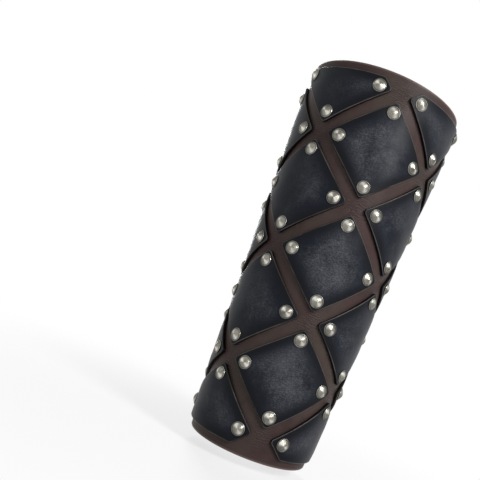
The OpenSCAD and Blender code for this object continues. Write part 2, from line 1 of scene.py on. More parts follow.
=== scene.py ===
"""The looks of a laced leather bracer with riveted plates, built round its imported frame."""

import json
import math

import bmesh
import bpy
import numpy as np
from bpy.props import FloatProperty, FloatVectorProperty, IntProperty, PointerProperty
from mathutils import Matrix, Vector
from mathutils.geometry import delaunay_2d_cdt


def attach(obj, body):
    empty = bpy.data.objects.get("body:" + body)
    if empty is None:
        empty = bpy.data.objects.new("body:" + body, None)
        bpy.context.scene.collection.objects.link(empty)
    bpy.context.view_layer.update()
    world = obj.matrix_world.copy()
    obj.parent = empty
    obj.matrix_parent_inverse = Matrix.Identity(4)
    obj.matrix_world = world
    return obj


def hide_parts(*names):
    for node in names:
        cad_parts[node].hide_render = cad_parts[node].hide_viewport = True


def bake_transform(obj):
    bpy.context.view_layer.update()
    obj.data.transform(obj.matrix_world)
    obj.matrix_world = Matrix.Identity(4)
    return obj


bl_info = {
    "name": "Leather bracer",
    "version": (1, 0, 0),
    "blender": (4, 5, 0),
    "location": "3D View > Sidebar > Bracer",
    "description": "Leather, plates, rivets, eyelets and lace of a forearm bracer",
    "category": "Object",
}

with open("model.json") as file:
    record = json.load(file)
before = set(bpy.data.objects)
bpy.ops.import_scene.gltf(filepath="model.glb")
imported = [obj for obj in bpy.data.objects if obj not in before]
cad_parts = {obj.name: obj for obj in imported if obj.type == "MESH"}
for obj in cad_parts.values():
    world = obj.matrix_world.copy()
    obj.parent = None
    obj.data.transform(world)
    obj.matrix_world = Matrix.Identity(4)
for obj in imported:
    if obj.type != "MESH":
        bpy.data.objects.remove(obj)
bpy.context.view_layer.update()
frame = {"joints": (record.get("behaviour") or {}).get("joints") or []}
MM = 0.001
TINY = 1e-12
SIDES = ((1, "right"), (-1, "left"))

# Sizes of the sleeve, in millimetres. A cut is how far round it starts, and then its slope.
SLEEVE_LEN = 252.0
ELBOW_W = 104.0
ELBOW_D = 97.0
WRIST_W = 78.0
BASE_T = 2.8
ELBOW_GAP = 40.0
WRIST_GAP = 20.0
ELBOW_CUT = (80.0, 0.57)
WRIST_CUT = (72.0, 1.14)
CUT_BEND = 16.0
FLAP_CORNER_R = 4.5
FLAP_CORNER_REACH = FLAP_CORNER_R * 1.2
BEND_GAP = 1.1
BEND_MARGIN = 0.8
SECTION_STEPS = 1440
SOLVE_STEPS = 12

# The lattice of plates and its rivets
COLUMN_PITCH = 39.5
ROW_PITCH = 75.0
CHANNEL = 7.5
PLATE_T = 2.2
PLATE_CORNER_R = 2.5
END_MARGIN = 5.5
LATTICE_LIFT = 1.5
ELBOW_REACH = 5.0
WRIST_REACH = 1.0
SIDE_RIVET_INSET = 8.6
TIP_RIVET_INSET = 7.5
SIDE_INSET = 7.0
INNER_ROWS = (1.5, 0.5, -0.5, -1.5)
CENTRE_ROWS = (1, 0, -1)

# Eyelets and the lace
EYELET_COUNT = 6
EYELET_PITCH = 33.6
EYELET_FIRST = 8.0
EYELET_INSET = 13.0
EYELET_BORE_R = 3.15
EYELET_WALL = 0.4
FLANGE_R = 4.9
FLANGE_H = 1.1
WASHER_R = 5.2
WASHER_T = 0.5
WASHER_PLAY = 0.65
HOLE_PLAY = 0.1
EYELET_HOLE_R = EYELET_BORE_R + EYELET_WALL + HOLE_PLAY
EYELET_SEAT = 0.02
ROLL_R = 4.3
ROLL_H = 0.6
LACE_PLAY = 0.35
CROSSING_PLAY = 0.3
FLANGE_CROSSING_PLAY = 0.4
BUNCH_W = 4.4
BUNCH_T = 2.4
KNOT_W = 12.0
KNOT_T = 6.0
REST_GAP = 4.5
REST = FLANGE_R + REST_GAP
STATION_GAP = 0.7
TURN_REACH = 6.0
TURN_PER_SLIDE = 1.6
TURN_RINGS = 40
BAR_PLAY = 1.0

# Shares: how far in from an edge the lace lies flat, and the place and size of its end in the knot
EDGE_REST = 0.3
END_PLACE = (0.4, -0.25)
END_SIZE = (0.8, 1.4)

# The bow: directions as shares across and along the sleeve, from the knot, and then its shapes.
# A shape has shares of the part's length, and heights over the leather in millimetres.
LOOP_UP_DIR = (-0.10, 1)
LOOP_SIDE_DIR = (-0.77, 0.64)
TAIL_SIDE_DIR = (0.68, -0.73)
TAIL_DOWN_DIR = (0.24, -0.97)
TAIL_SLANT = 3.0
LOOP_SHAPE = (
    (0.08, 1.2), (0.3, 4.6), (0.55, 5.9), (0.8, 5.6), (0.93, 4.6), (0.985, 3.4), (0.985, 2.2),
    (0.93, 1.2), (0.8, 0.6), (0.55, 0.5), (0.3, 0.6), (0.08, -0.4),
)
TAIL_SHAPE = ((0.08, 0.0), (0.3, 1.1), (0.65, 0.8), (1.0, 0.5))
# The knot's core: places, widths and thicknesses as shares of the knot's
CORE_SHAPE = (
    (-0.5, 0.62, 0.55), (-0.36, 0.8, 0.8), (0, 0.86, 0.9), (0.36, 0.8, 0.8), (0.5, 0.62, 0.55),
)
# The neck of a loop or tail at the knot, in shares, and the band round the knot, in degrees
NECK_W = 0.62
NECK_START = 0.08
NECK_LEN = 0.25
BAND_TURN = math.radians(-38)
BAND_SPAN = (-20, 205, 15)
BAND_RISE = 0.62
BAND_W = 0.95
UP = np.array([0, 0, 1.0])
LEFTWARDS = (-1, 0, 0)

# Points of the leather's meshes, in millimetres: steps along the outlines, grids in the faces,
# the flat shoulder inside an edge, and what each set of points keeps clear
LEATHER_STEP = 1.4
LEATHER_GRID = 3.0
LEATHER_SHOULDER = 1.9
PLATE_STEP = 1.3
PLATE_GRID = 2.6
PLATE_SHOULDER = 1.3
END_POINTS = 90
ARC_STEP = 0.5
CORNER_STEP = 0.4
CORNER_MERGE = 0.2
HOLE_POINTS = 28
ROW_STEP = 1.3
ROW_REACH = 1.15
ROW_GAP = 0.8
POINT_GAP = 0.7
GRID_CLEAR = ROW_STEP * 2.7
DENT_RINGS = ((4.4, 16), (5.4, 18), (6.6, 20))
DENT_ROW_CLEAR = 7.4
DENT_GRID_CLEAR = 7.6
SEAM_COLUMNS = (0.5, 1.4)
SEAM_GRID_START = 2.4
SEAM_CLEAR = 0.3
CREASE_REACH = 9.0
ON_LINE = 1e-6

# The plates' swell in millimetres: it is held flat so far, then it rises over a run. It changes by
# a share from place to place.
RIVET_HOLD = 4.2
RIVET_RUN = 8.0
EDGE_HOLD = 0.6
EDGE_RUN = 5.0
SWELL_CHANGE = 0.35
SWELL_SCALE = 24

# Where the leather starts and stops to turn with a flap, in metres from the flap's bend line
BEND_BEFORE = 0.0008
BEND_AFTER = 0.009

# How far the parts of a fitting stand over or under its seat, in metres
CAP_SEAT = 0.0003
RIM_SEAT = 0.0002
RING_SEAT = 0.0003
PLUG_T = 0.0008
TUBE_RISE = 0.0002
ROLL_SINK = 0.0001

# Half the height of a rolled ring or flange as a share of the whole, the random turn of a fitting
# in radians, and the metal's grooves in radians per metre
RING_RISE = 0.55
FLANGE_RISE = 0.62
OWN_TURN = 0.3
RIVET_GROOVES = 52000.0
EYELET_GROOVES = 40000.0
# The painted shade in the rivets' hollows, then the metal's specular tint
HOLLOW_SHADE_COLOR = (0.008, 0.007, 0.006)
METAL_TINT = (0.5, 0.49, 0.46)

# The camera: azimuth, elevation and roll in degrees, the distance in metres, the lens as a share of
# the sensor's width, and the pixel of the frame where the middle of the sleeve stands
FRAME = 480
VIEW_ANGLES = (-8.8, -5.8, 21.86)
VIEW_DISTANCE = 0.440
SENSOR_W = 36.0
LENS_PER_SENSOR = 1.49 * 440 / 480
MIDDLE_PIXEL = (317.5, 270.0)
MIDDLE = Vector((0, 0, 0.125))

# The floor in metres, with the distances between which its shadow fades, and the lamps: name,
# place, size, share of the power and turn in degrees
WHITE = (1.0, 1.0, 1.0)
SQUARE = ((-1, -1), (1, -1), (1, 1), (-1, 1))
FLOOR_HALF = 6.0
FLOOR_Z = -0.006
SHADOW_FADE = (0.06, 0.4)
LAMPS = (
    ("lamp_main", (0.42, -0.66, 0.58), (0.12, 0.45), 1.45, -22),
    ("lamp_front", (-0.04, -0.85, 0.30), (0.05, 0.9), 0.10, -22),
    ("lamp_left", (-0.75, -0.15, 0.35), (0.10, 0.7), 0.05, -22),
    ("lamp_back", (-0.15, 0.80, 0.50), (0.25, 0.9), 1.6, 0),
)


def srgb(r, g, b):
    """The linear colour of an 8-bit display colour."""
    shares = (c / 255 for c in (r, g, b))
    return tuple(((c + 0.055) / 1.055) ** 2.4 if c > 0.04045 else c / 12.92 for c in shares)


def unit(v):
    v = np.asarray(v, float)
    return v / np.maximum(np.linalg.norm(v, axis=-1, keepdims=True), TINY)


def left_of(v):
    return np.stack([-v[..., 1], v[..., 0]], -1)


class Sleeve:
    """The oval cone that all the leather follows, with its flat pattern.

    A point of the pattern is [across from the front line, distance from the cone's apex].
    """

    def __init__(self):
        self.half_w = ELBOW_W / 2
        self.half_d = ELBOW_D / 2
        self.apex_h = SLEEVE_LEN * ELBOW_W / (ELBOW_W - WRIST_W)
        t = np.linspace(0, math.pi, SECTION_STEPS + 1)
        self.x = self.half_w * np.sin(t)
        self.y = -self.half_d * np.cos(t)
        rays = np.stack([self.x, self.y, np.full_like(t, self.apex_h)], 1)
        self.length = np.linalg.norm(rays, axis=1)
        rays /= self.length[:, None]
        step = 2 * np.arcsin(np.linalg.norm(rays[1:] - rays[:-1], axis=1) / 2)
        self.angle = np.concatenate([[0], np.cumsum(step)])
        normal = unit(np.stack([np.sin(t) / self.half_w, -np.cos(t) / self.half_d], 1))
        self.nx, self.ny = normal.T
        self.back = self.angle[-1]
        self.elbow_r = math.hypot(self.half_d, self.apex_h)
        self.wrist_r = self.elbow_r * WRIST_W / ELBOW_W
        self.middle_r = (self.elbow_r + self.wrist_r) / 2

    def at(self, angle, r, h):
        """Points at an angle and a distance from the apex, h over the base leather's outer face."""
        angle, r, h = np.broadcast_arrays(*(np.asarray(v, float) for v in (angle, r, h)))
        a, side = np.abs(angle), np.where(angle < 0, -1.0, 1.0)
        k = r / np.interp(a, self.angle, self.length)
        x = side * (k * np.interp(a, self.angle, self.x) + h * np.interp(a, self.angle, self.nx))
        y = k * np.interp(a, self.angle, self.y) + h * np.interp(a, self.angle, self.ny)
        return np.stack([x, y, self.apex_h * (k - 1) + SLEEVE_LEN], -1)

    def lay(self, flat, h):
        """Points of the flat pattern laid on the sleeve."""
        u, w = np.moveaxis(np.asarray(flat, float), -1, 0)
        return self.at(np.arctan2(u, w), np.hypot(u, w), h)

    def facing(self, flat):
        """Directions that point straight out of the leather at points of the flat pattern."""
        flat = np.asarray(flat, float)
        probe = 0.5
        along = self.lay(flat + [0, probe], 0) - self.lay(flat - [0, probe], 0)
        across = self.lay(flat + [probe, 0], 0) - self.lay(flat - [probe, 0], 0)
        return unit(np.cross(across, along))


SLEEVE = Sleeve()


def flat(u, w):
    return np.array([u, SLEEVE.middle_r + w], float)


def polar(angle, r):
    return np.stack([r * np.sin(angle), r * np.cos(angle)], -1)


def angle_of(p):
    return math.atan2(p[0], p[1])


def cut_back(u, cut):
    """How far a slanted cut takes the end of the leather back, at a distance round from the front."""
    v = np.maximum(np.asarray(u, float) - cut[0], 0)
    return np.where(v < CUT_BEND, cut[1] * v * v / (2 * CUT_BEND), cut[1] * (v - CUT_BEND / 2))


def elbow_end_r(angle):
    return SLEEVE.elbow_r - cut_back(np.abs(angle) * SLEEVE.elbow_r, ELBOW_CUT)


def wrist_end_r(angle):
    return SLEEVE.wrist_r / np.cos(angle) + cut_back(np.abs(angle) * SLEEVE.wrist_r, WRIST_CUT)


def reach(w):
    """Reach of the outer half plates past the middle of their diamonds."""
    share = w / (SLEEVE.elbow_r - SLEEVE.wrist_r) + 0.5
    return WRIST_REACH + (ELBOW_REACH - WRIST_REACH) * share


def bend_line(w):
    return 2 * COLUMN_PITCH + reach(w) + BEND_MARGIN + BEND_GAP / 2


# The lacing edge on the flat pattern, as a line from the wrist end to the elbow end
EDGE_TOP = polar(SLEEVE.back - ELBOW_GAP / 2 / SLEEVE.elbow_r, SLEEVE.elbow_r)
EDGE_BOTTOM = polar(SLEEVE.back - WRIST_GAP / 2 / SLEEVE.wrist_r, SLEEVE.wrist_r)
EDGE_DIR = unit(EDGE_TOP - EDGE_BOTTOM)


def edge_at(s):
    return EDGE_BOTTOM + EDGE_DIR * s


def edge_end(s, end_r):
    """Where the lacing edge meets an end of the leather."""
    for _ in range(SOLVE_STEPS):
        p = edge_at(s)
        s += float(end_r(angle_of(p))) - math.hypot(*p)
    return s


EDGE_TOP_S = edge_end(np.linalg.norm(EDGE_TOP - EDGE_BOTTOM), elbow_end_r)
EDGE_BOTTOM_S = edge_end(0.0, wrist_end_r)
EYELETS = np.array([
    edge_at(EDGE_TOP_S - EYELET_FIRST - i * EYELET_PITCH) + left_of(EDGE_DIR) * EYELET_INSET
    for i in range(EYELET_COUNT)
])


def arc(a, b, c, r, step):
    """Points of the rounded corner b between a and c."""
    u, v = unit(a - b), unit(c - b)
    half = math.acos(float(np.clip(u @ v, -1, 1))) / 2
    centre = b + unit(u + v) * r / math.sin(half)
    start = b + u * r / math.tan(half) - centre
    stop = b + v * r / math.tan(half) - centre
    a0 = math.atan2(start[1], start[0])
    sweep = (math.atan2(stop[1], stop[0]) - a0 + 3 * math.pi) % (2 * math.pi) - math.pi
    n = max(3, int(abs(sweep) * r / step) + 1)
    turn = a0 + sweep * np.linspace(0, 1, n)
    return centre + r * np.stack([np.cos(turn), np.sin(turn)], 1)


def spaced(points, step, closed):
    """The same line with points about a step apart, keeping its corners."""
    points = np.asarray(points, float)
    out = []
    count = len(points) if closed else len(points) - 1
    for i in range(count):
        a, b = points[i], points[(i + 1) % len(points)]
        n = max(1, int(round(np.linalg.norm(b - a) / step)))
        out += [a + (b - a) * k / n for k in range(n)]
    if not closed:
        out.append(points[-1])
    return np.array(out)


def clipped(points, at, normal):
    """The part of a convex outline that lies on the normal's side of a line."""
    d = (points - at) @ normal
    out = []
    for i, p in enumerate(points):
        j = (i + 1) % len(points)
        if d[i] >= 0:
            out.append(p)
        if d[i] * d[j] < 0:
            out.append(p + (points[j] - p) * d[i] / (d[i] - d[j]))
    return np.array(out)


def rounded(outline, r, step):
    """A convex outline with rounded corners, which may take in a short side."""
    core = outline
    for a, b in zip(outline, np.roll(outline, -1, 0)):
        normal = left_of(unit(b - a))
        core = clipped(core, a + normal * r, normal)
    before = core - np.roll(core, 1, 0)
    start = np.arctan2(before[:, 1], before[:, 0]) - math.pi / 2
    turn = (np.roll(start, -1) - start) % (2 * math.pi)
    corners = []
    for centre, a, sweep in zip(core, start, turn):
        angles = a + sweep * np.linspace(0, 1, max(3, int(sweep * r / CORNER_STEP) + 1))
        corners.append(centre + r * np.stack([np.cos(angles), np.sin(angles)], 1))
    corners = np.concatenate(corners)
    corners = corners[np.linalg.norm(corners - np.roll(corners, 1, 0), axis=1) > CORNER_MERGE]
    return spaced(corners, step, True)


def half_sheet_path():
    """The right half of the base leather, from the front line at the wrist to it at the elbow."""
    tips, ends = [], []
    for s, end_r in ((EDGE_BOTTOM_S, wrist_end_r), (EDGE_TOP_S, elbow_end_r)):
        tip = edge_at(s)
        end = [polar(a, float(end_r(a))) for a in np.linspace(0, angle_of(tip), END_POINTS)]
        tips.append(tip)
        ends.append([p for p in end if np.linalg.norm(p - tip) > FLAP_CORNER_REACH])
    low, high = ends
    low_corner = arc(low[-1], *tips, FLAP_CORNER_R, ARC_STEP)
    high_corner = arc(*tips, high[-1], FLAP_CORNER_R, ARC_STEP)
    return spaced(np.concatenate([low, low_corner, high_corner, high[::-1]]), LEATHER_STEP, False)


# The half diagonals of a diamond, less its share of the channels
LATTICE_EDGE = math.hypot(ROW_PITCH / 2, COLUMN_PITCH)
PLATE_A = COLUMN_PITCH - CHANNEL / 2 * LATTICE_EDGE / (ROW_PITCH / 2)
PLATE_B = ROW_PITCH / 2 - CHANNEL / 2 * LATTICE_EDGE / COLUMN_PITCH
WRIST_CUT_W = SLEEVE.wrist_r + END_MARGIN - SLEEVE.middle_r
CUT_PROBE = 0.8


def row_w(row):
    return LATTICE_LIFT + row * ROW_PITCH


def elbow_cut_w(u):
    return math.sqrt((SLEEVE.elbow_r - END_MARGIN) ** 2 - u * u) - SLEEVE.middle_r


def moved(points, u, w):
    return np.array([flat(p[0] + u, p[1] + w) for p in points])


def whole_plate(column, row):
    a, b = PLATE_A, PLATE_B
    return moved([[0, -b], [a, 0], [0, b], [-a, 0]], column * COLUMN_PITCH, row_w(row))


def elbow_half_plate(column, row):
    a, b, u, w = PLATE_A, PLATE_B, column * COLUMN_PITCH, row_w(row)
    right = elbow_cut_w(u + CUT_PROBE * a) - w
    left = elbow_cut_w(u - CUT_PROBE * a) - w
    points = [[0, -b], [a, 0], [a * (1 - right / b), right], [-a * (1 - left / b), left], [-a, 0]]
    return moved(points, u, w)


def wrist_half_plate(column, row):
    a, b, u, w = PLATE_A, PLATE_B, column * COLUMN_PITCH, row_w(row)
    cut = w - WRIST_CUT_W
    half = a * (1 - cut / b)
    return moved([[0, b], [-a, 0], [-half, -cut], [half, -cut], [a, 0]], u, w)


def side_half_plate(row):
    a, b, w = PLATE_A, PLATE_B, row_w(row)
    high, low = reach(w + b), reach(w - b)
    points = [[-a, 0], [0, -b], [low, -b * (1 - low / a)], [high, b * (1 - high / a)], [0, b]]
    return moved(points, 2 * COLUMN_PITCH, w)


SIDE_RIVET = np.array([PLATE_A - SIDE_RIVET_INSET, 0])
TIP_RIVET = np.array([0, PLATE_B - TIP_RIVET_INSET])


def rivets_of(kind, column, row):
    if kind == "side":
        w = row_w(row)
        u = reach(w) - SIDE_INSET
        v = PLATE_B * (1 - abs(u) / PLATE_A) - TIP_RIVET_INSET
        return moved([-SIDE_RIVET, [u, v], [u, -v]], 2 * COLUMN_PITCH, w)
    ends = {"whole": [TIP_RIVET, -TIP_RIVET], "elbow": [-TIP_RIVET], "wrist": [TIP_RIVET]}[kind]
    return moved([SIDE_RIVET, -SIDE_RIVET, *ends], column * COLUMN_PITCH, row_w(row))


def plate_list():
    """Every plate's node, outline, rivets, rivet node and side of the front line."""
    out = []

    def add(column, number, outline, rivets, side):
        out.append((f"plate_{column}_{number}", outline, rivets, f"rivets_{column}", side))

    for i, row in enumerate(CENTRE_ROWS, 1):
        add("centre", i, whole_plate(0, row), rivets_of("whole", 0, row), 1)
    kinds = ("elbow", "whole", "whole", "wrist")
    shapes = {"elbow": elbow_half_plate, "whole": whole_plate, "wrist": wrist_half_plate}
    for side, name in SIDES:
        for i, (kind, row) in enumerate(zip(kinds, INNER_ROWS), 1):
            add(f"{name}_inner", i, shapes[kind](1, row), rivets_of(kind, 1, row), side)
        for i, row in enumerate(CENTRE_ROWS, 1):
            add(f"{name}_outer", i, side_half_plate(row), rivets_of("side", 2, row), side)
    return out


PLATES = plate_list()


# Meshes

def new_object(name, data):
    obj = bpy.data.objects.new(name, data)
    bpy.context.scene.collection.objects.link(obj)
    return obj


def face_outwards(mesh):
    work = bmesh.new()
    work.from_mesh(mesh)
    bmesh.ops.recalc_face_normals(work, faces=work.faces)
    work.to_mesh(mesh)
    work.free()


def mark_sharp(mesh, sharp):
    """Marks the edges that join two sharp points."""
    ends = np.zeros(2 * len(mesh.edges), np.int32)
    mesh.edges.foreach_get("vertices", ends)
    both = sharp[ends.reshape(-1, 2)].all(1)
    mesh.attributes.new("sharp_edge", "BOOLEAN", "EDGE").data.foreach_set("value", both)


def new_piece(name, verts, faces, material, attributes=None, uv=None, sharp=None):
    """A smooth-shaded object from points in millimetres, with its place in its mesh."""
    mesh = bpy.data.meshes.new(name)
    places = [tuple(p) for p in np.asarray(verts, float) * MM]
    mesh.from_pydata(places, [], [tuple(map(int, f)) for f in faces])
    mesh.validate()
    for key, values in (attributes or {}).items():
        layer = mesh.attributes.new(key, "FLOAT", "POINT")
        layer.data.foreach_set("value", np.asarray(values, np.float32))
    if uv is not None:
        layer = mesh.uv_layers.new(name="UVMap")
        index = np.zeros(len(mesh.loops), np.int32)
        mesh.loops.foreach_get("vertex_index", index)
        layer.data.foreach_set("uv", np.asarray(uv, np.float32)[index].ravel())
    face_outwards(mesh)
    mesh.polygons.foreach_set("use_smooth", np.ones(len(mesh.polygons), bool))
    if sharp is not None:
        mark_sharp(mesh, sharp)
    mesh.materials.append(material)
    return new_object(name, mesh)


def strip(low, high, closed=True):
    """Faces between two equal rows of points."""
    n = len(low)
    pairs = [(i, (i + 1) % n) for i in range(n if closed else n - 1)]
    return [[low[i], low[j], high[j], high[i]] for i, j in pairs]


def offset_path(path, inset, closed):
    """The path moved to its inner side, which lies on its left."""
    if closed:
        ahead, behind = np.roll(path, -1, 0), np.roll(path, 1, 0)
    else:
        ahead = np.concatenate([path[1:], path[-1:]])
        behind = np.concatenate([path[:1], path[:-1]])
    before, after = unit(path - behind), unit(ahead - path)
    if not closed:
        before[0], after[-1] = after[0], before[-1]
    normal = unit(left_of(before + after))
    # A corner stretches the inset, but never to more than twice its length
    stretch = 1 / np.clip((normal * left_of(after)).sum(1, keepdims=True), 0.5, 1)
    out = path + normal * inset * stretch
    if not closed:
        out[0, 0], out[-1, 0] = 0.0, 0.0
    return out


def inside(points, polygon):
    """Which points lie inside a closed polygon."""
    x, y = points[:, 0][:, None], points[:, 1][:, None]
    a, b = polygon, np.roll(polygon, -1, 0)
    span = b[:, 1] - a[:, 1]
    span = np.where(np.abs(span) < TINY, TINY, span)
    cross = (a[:, 1] > y) != (b[:, 1] > y)
    hit = x < (b[:, 0] - a[:, 0]) * (y - a[:, 1]) / span + a[:, 0]
    return (cross & hit).sum(1) % 2 == 1


def nearest(points, targets):
    """Distance from each point to the nearest target, worked out in blocks to save memory."""
    block = 2000
    out = np.empty(len(points))
    for i in range(0, len(points), block):
        away = points[i:i + block, None, :] - targets[None, :, :]
        out[i:i + block] = np.sqrt((away ** 2).sum(2).min(1))
    return out


def apart(points, gap):
    """The points that keep a gap to all those before them."""
    kept = []
    for p in points:
        if not kept or np.linalg.norm(np.array(kept) - p, axis=1).min() > gap:
            kept.append(p)
    return np.array(kept)


def circle(centre, r, count):
    a = np.linspace(0, 2 * math.pi, count, endpoint=False)
    return centre + r * np.stack([np.cos(a), np.sin(a)], 1)


def fill(boundary, loops, extra):
    """Triangles between closed loops: all the points, and faces over them."""
    points = np.concatenate([boundary, *loops, extra])
    # The triangulation works in single precision, so the tests use the same places
    places = np.float64(np.float32(points - points.mean(0)))
    edges, rings, first = [], [], 0
    for ring in (boundary, *loops):
        last = first + len(ring)
        edges += [(i, i + 1) for i in range(first, last - 1)] + [(last - 1, first)]
        rings.append(places[first:last])
        first = last
    inside_only, tolerance, with_origins = 1, 1e-6, True
    vectors = [Vector(p) for p in places]
    found = delaunay_2d_cdt(vectors, edges, [], inside_only, tolerance, with_origins)
    faces, origins = found[2:4]
    if any(len(ids) != 1 for ids in origins):
        raise RuntimeError("points of a sheet coincide or its outlines cross")
    faces = np.array([[origins[i][0] for i in face] for face in faces])
    middle = places[faces].mean(1)
    keep = inside(middle, rings[0])
    for ring in rings[1:]:
        keep &= ~inside(middle, ring)
    return points, faces[keep].tolist()


def edge_profile(low, high, r, shoulder, steps=4):
    """Insets and heights round a sheet's edge, from its inner face to its outer face."""
    turn = np.linspace(0, math.pi / 2, steps + 1)
    under = [(r - r * math.sin(a), low + r - r * math.cos(a)) for a in turn]
    over = [(r - r * math.cos(a), high - r + r * math.sin(a)) for a in turn]
    return [(shoulder, low), *under, *over, (shoulder, high)]


def grid_over(boundary, grid, closed):
    """A square grid of points over a boundary's box, closer together at an open front line."""
    low, high = boundary.min(0), boundary.max(0)
    us = np.arange(low[0] + grid / 2, high[0], grid)
    if not closed:
        us = np.concatenate([SEAM_COLUMNS, us[us > SEAM_GRID_START]])
    vs = np.arange(low[1] + grid / 2, high[1], grid)
    return np.stack(np.meshgrid(us, vs), -1).reshape(-1, 2)


def inner_points(path, closed, boundary, shoulder, grid, holes, dents):
    """The points inside a face: rows along the outline, rings round the dents and a grid."""
    rows = [offset_path(path, shoulder + ROW_STEP * k, closed) for k in (1, 2)]
    rows = [
        apart(row[nearest(row, path) > shoulder + ROW_STEP * k + ROW_REACH], ROW_GAP)
        for k, row in enumerate(rows)
    ]
    inner = grid_over(boundary, grid, closed)
    inner = inner[inside(inner, boundary) & (nearest(inner, path) > shoulder + GRID_CLEAR)]
    if len(dents):
        rings = np.concatenate([circle(p, r, n) for p in dents for r, n in DENT_RINGS])
        rings = rings[inside(rings, path) & (nearest(rings, path) > shoulder + POINT_GAP)]
        inner = np.concatenate([inner[nearest(inner, dents) > DENT_GRID_CLEAR], rings])
        rows = [row[nearest(row, dents) > DENT_ROW_CLEAR] for row in rows]
    rows = np.concatenate(rows)
    inner = np.concatenate([rows, inner[nearest(inner, rows) > POINT_GAP]])
    if not closed:
        inner = inner[inner[:, 0] > SEAM_CLEAR]
    for p, r in holes:
        inner = inner[np.linalg.norm(inner - p, axis=1) > r + ROW_GAP]
    return inner


def sheet_mesh(path, closed, profile, holes, grid, lift, dents=()):
    """A sheet of leather over the sleeve: flat places, heights, faces, edge and layer values.

    path is the outline, or the part of it off the front line when it isn't closed, with the
    leather on its left. A hole is its middle and radius, and dents are the rivets' places. lift
    gives the outer face's extra height at flat places. The edge value is the distance from the
    outline, and the layer value is 0 inside and 1 outside.
    """
    rings = [offset_path(path, inset, closed) for inset, _ in profile]
    low_h, (shoulder, high_h) = profile[0][1], profile[-1]
    seam = np.zeros((0, 2))
    if not closed:
        start, stop = rings[-1][-1], rings[-1][0]
        n = int(np.linalg.norm(stop - start) / grid)
        seam = np.array([start + (stop - start) * k / n for k in range(1, n)])
    boundary = np.concatenate([rings[-1], seam])
    circles = [circle(p, r, HOLE_POINTS) for p, r in holes]
    inner = inner_points(path, closed, boundary, shoulder, grid, holes, dents)
    points, triangles = fill(boundary, circles, inner)

    m, levels = len(path), len(profile)
    extra, on_walls = points[m:], m * levels
    flats = np.concatenate([*rings, extra, extra])
    heights = np.concatenate([
        np.repeat([h for _, h in profile], m),
        np.repeat([high_h, low_h], len(extra)),
    ])
    deep = nearest(extra, path)
    edge = np.concatenate([np.repeat([inset for inset, _ in profile], m), deep, deep])

    rows = [range(k * m, k * m + m) for k in range(levels)]
    faces = [face for low, high in zip(rows, rows[1:]) for face in strip(low, high, closed)]
    outer = range(on_walls, on_walls + len(extra))
    under = range(outer.stop, outer.stop + len(extra))
    for ids, step in (([*rows[-1], *outer], 1), ([*rows[0], *under], -1)):
        faces += [[ids[i] for i in triangle[::step]] for triangle in triangles]
    if not closed:
        # The wall along the front line, where the two halves of the leather meet
        high_row = [rows[-1][-1], *outer[:len(seam)], rows[-1][0]]
        low_row = [rows[0][-1], *under[:len(seam)], rows[0][0]]
        faces += strip(high_row, low_row, False)
        faces.append([row[0] for row in rows])
        faces.append([row[-1] for row in reversed(rows)])
    at = len(seam)
    for ring in circles:
        here = slice(at, at + len(ring))
        faces += strip(outer[here], under[here])
        at += len(ring)

    layer = (heights - low_h) / (high_h - low_h)
    on_top = layer > 0.999
    heights = heights + np.where(on_top, lift(flats, edge), 0)
    return flats, heights, faces, edge, layer


def smooth_noise(points, scale, seed):
    """Smooth values from about -1 to 1 at flat places, from ten crossing waves."""
    random = np.random.default_rng(seed)
    out = np.zeros(len(points))
    for _ in range(10):
        a = random.uniform(0, 2 * math.pi)
        wave = random.uniform(0.7, 1.6) * 2 * math.pi / scale
        along = points[:, 0] * math.cos(a) + points[:, 1] * math.sin(a)
        out += np.sin(wave * along + random.uniform(0, 6.3))
    return out / 4


# Node trees written as expressions

class Value:
    """A socket of a node tree. Arithmetic on it adds Math nodes."""

    def __init__(self, tree, socket):
        self.tree = tree
        self.socket = socket

    def maths(self, operation, *values, clamp=False):
        settings = {"operation": operation, "use_clamp": clamp}
        return self.tree.node("ShaderNodeMath", settings, dict(enumerate(values)))

    def __add__(self, other):
        return self.maths("ADD", self, other)

    def __sub__(self, other):
        return self.maths("SUBTRACT", self, other)

    def __mul__(self, other):
        return self.maths("MULTIPLY", self, other)

    def __truediv__(self, other):
        return self.maths("DIVIDE", self, other)

    def __pow__(self, other):
        return self.maths("POWER", self, other)

    def __radd__(self, other):
        return self.maths("ADD", other, self)

    def __rsub__(self, other):
        return self.maths("SUBTRACT", other, self)

    def __rmul__(self, other):
        return self.maths("MULTIPLY", other, self)

    def clamped(self):
        return self.maths("ADD", self, 0.0, clamp=True)

    def absolute(self):
        return self.maths("ABSOLUTE", self)

    def fraction(self):
        return self.maths("FRACT", self)

    def sign(self):
        return self.maths("SIGN", self)

    def sine(self):
        return self.maths("SINE", self)

    def part(self, axis):
        """One number of a vector."""
        return self.tree.node("ShaderNodeSeparateXYZ", None, {"Vector": self}, axis)

    def between(self, low, high, to_low=0.0, to_high=1.0):
        """The value carried smoothly from one range to another."""
        sockets = {"Value": self, "From Min": low, "From Max": high, "To Min": to_low, "To Max": to_high}
        return self.tree.node("ShaderNodeMapRange", {"interpolation_type": "SMOOTHSTEP"}, sockets)


class Tree:
    """A node tree that takes each node in one call."""

    def __init__(self, tree):
        self.nodes = tree.nodes
        self.links = tree.links

    def node(self, kind, settings=None, sockets=None, out=0):
        """Adds a node with its settings, then the values or links of its sockets."""
        made = self.nodes.new(kind)
        for key, value in (settings or {}).items():
            setattr(made, key, value)
        for key, value in (sockets or {}).items():
            socket = made.inputs[key]
            if isinstance(value, Value):
                self.links.new(value.socket, socket)
            elif socket.type == "RGBA" and len(value) == 3:
                socket.default_value = (*value, 1.0)
            else:
                socket.default_value = value
        return Value(self, made.outputs[out]) if made.outputs else None


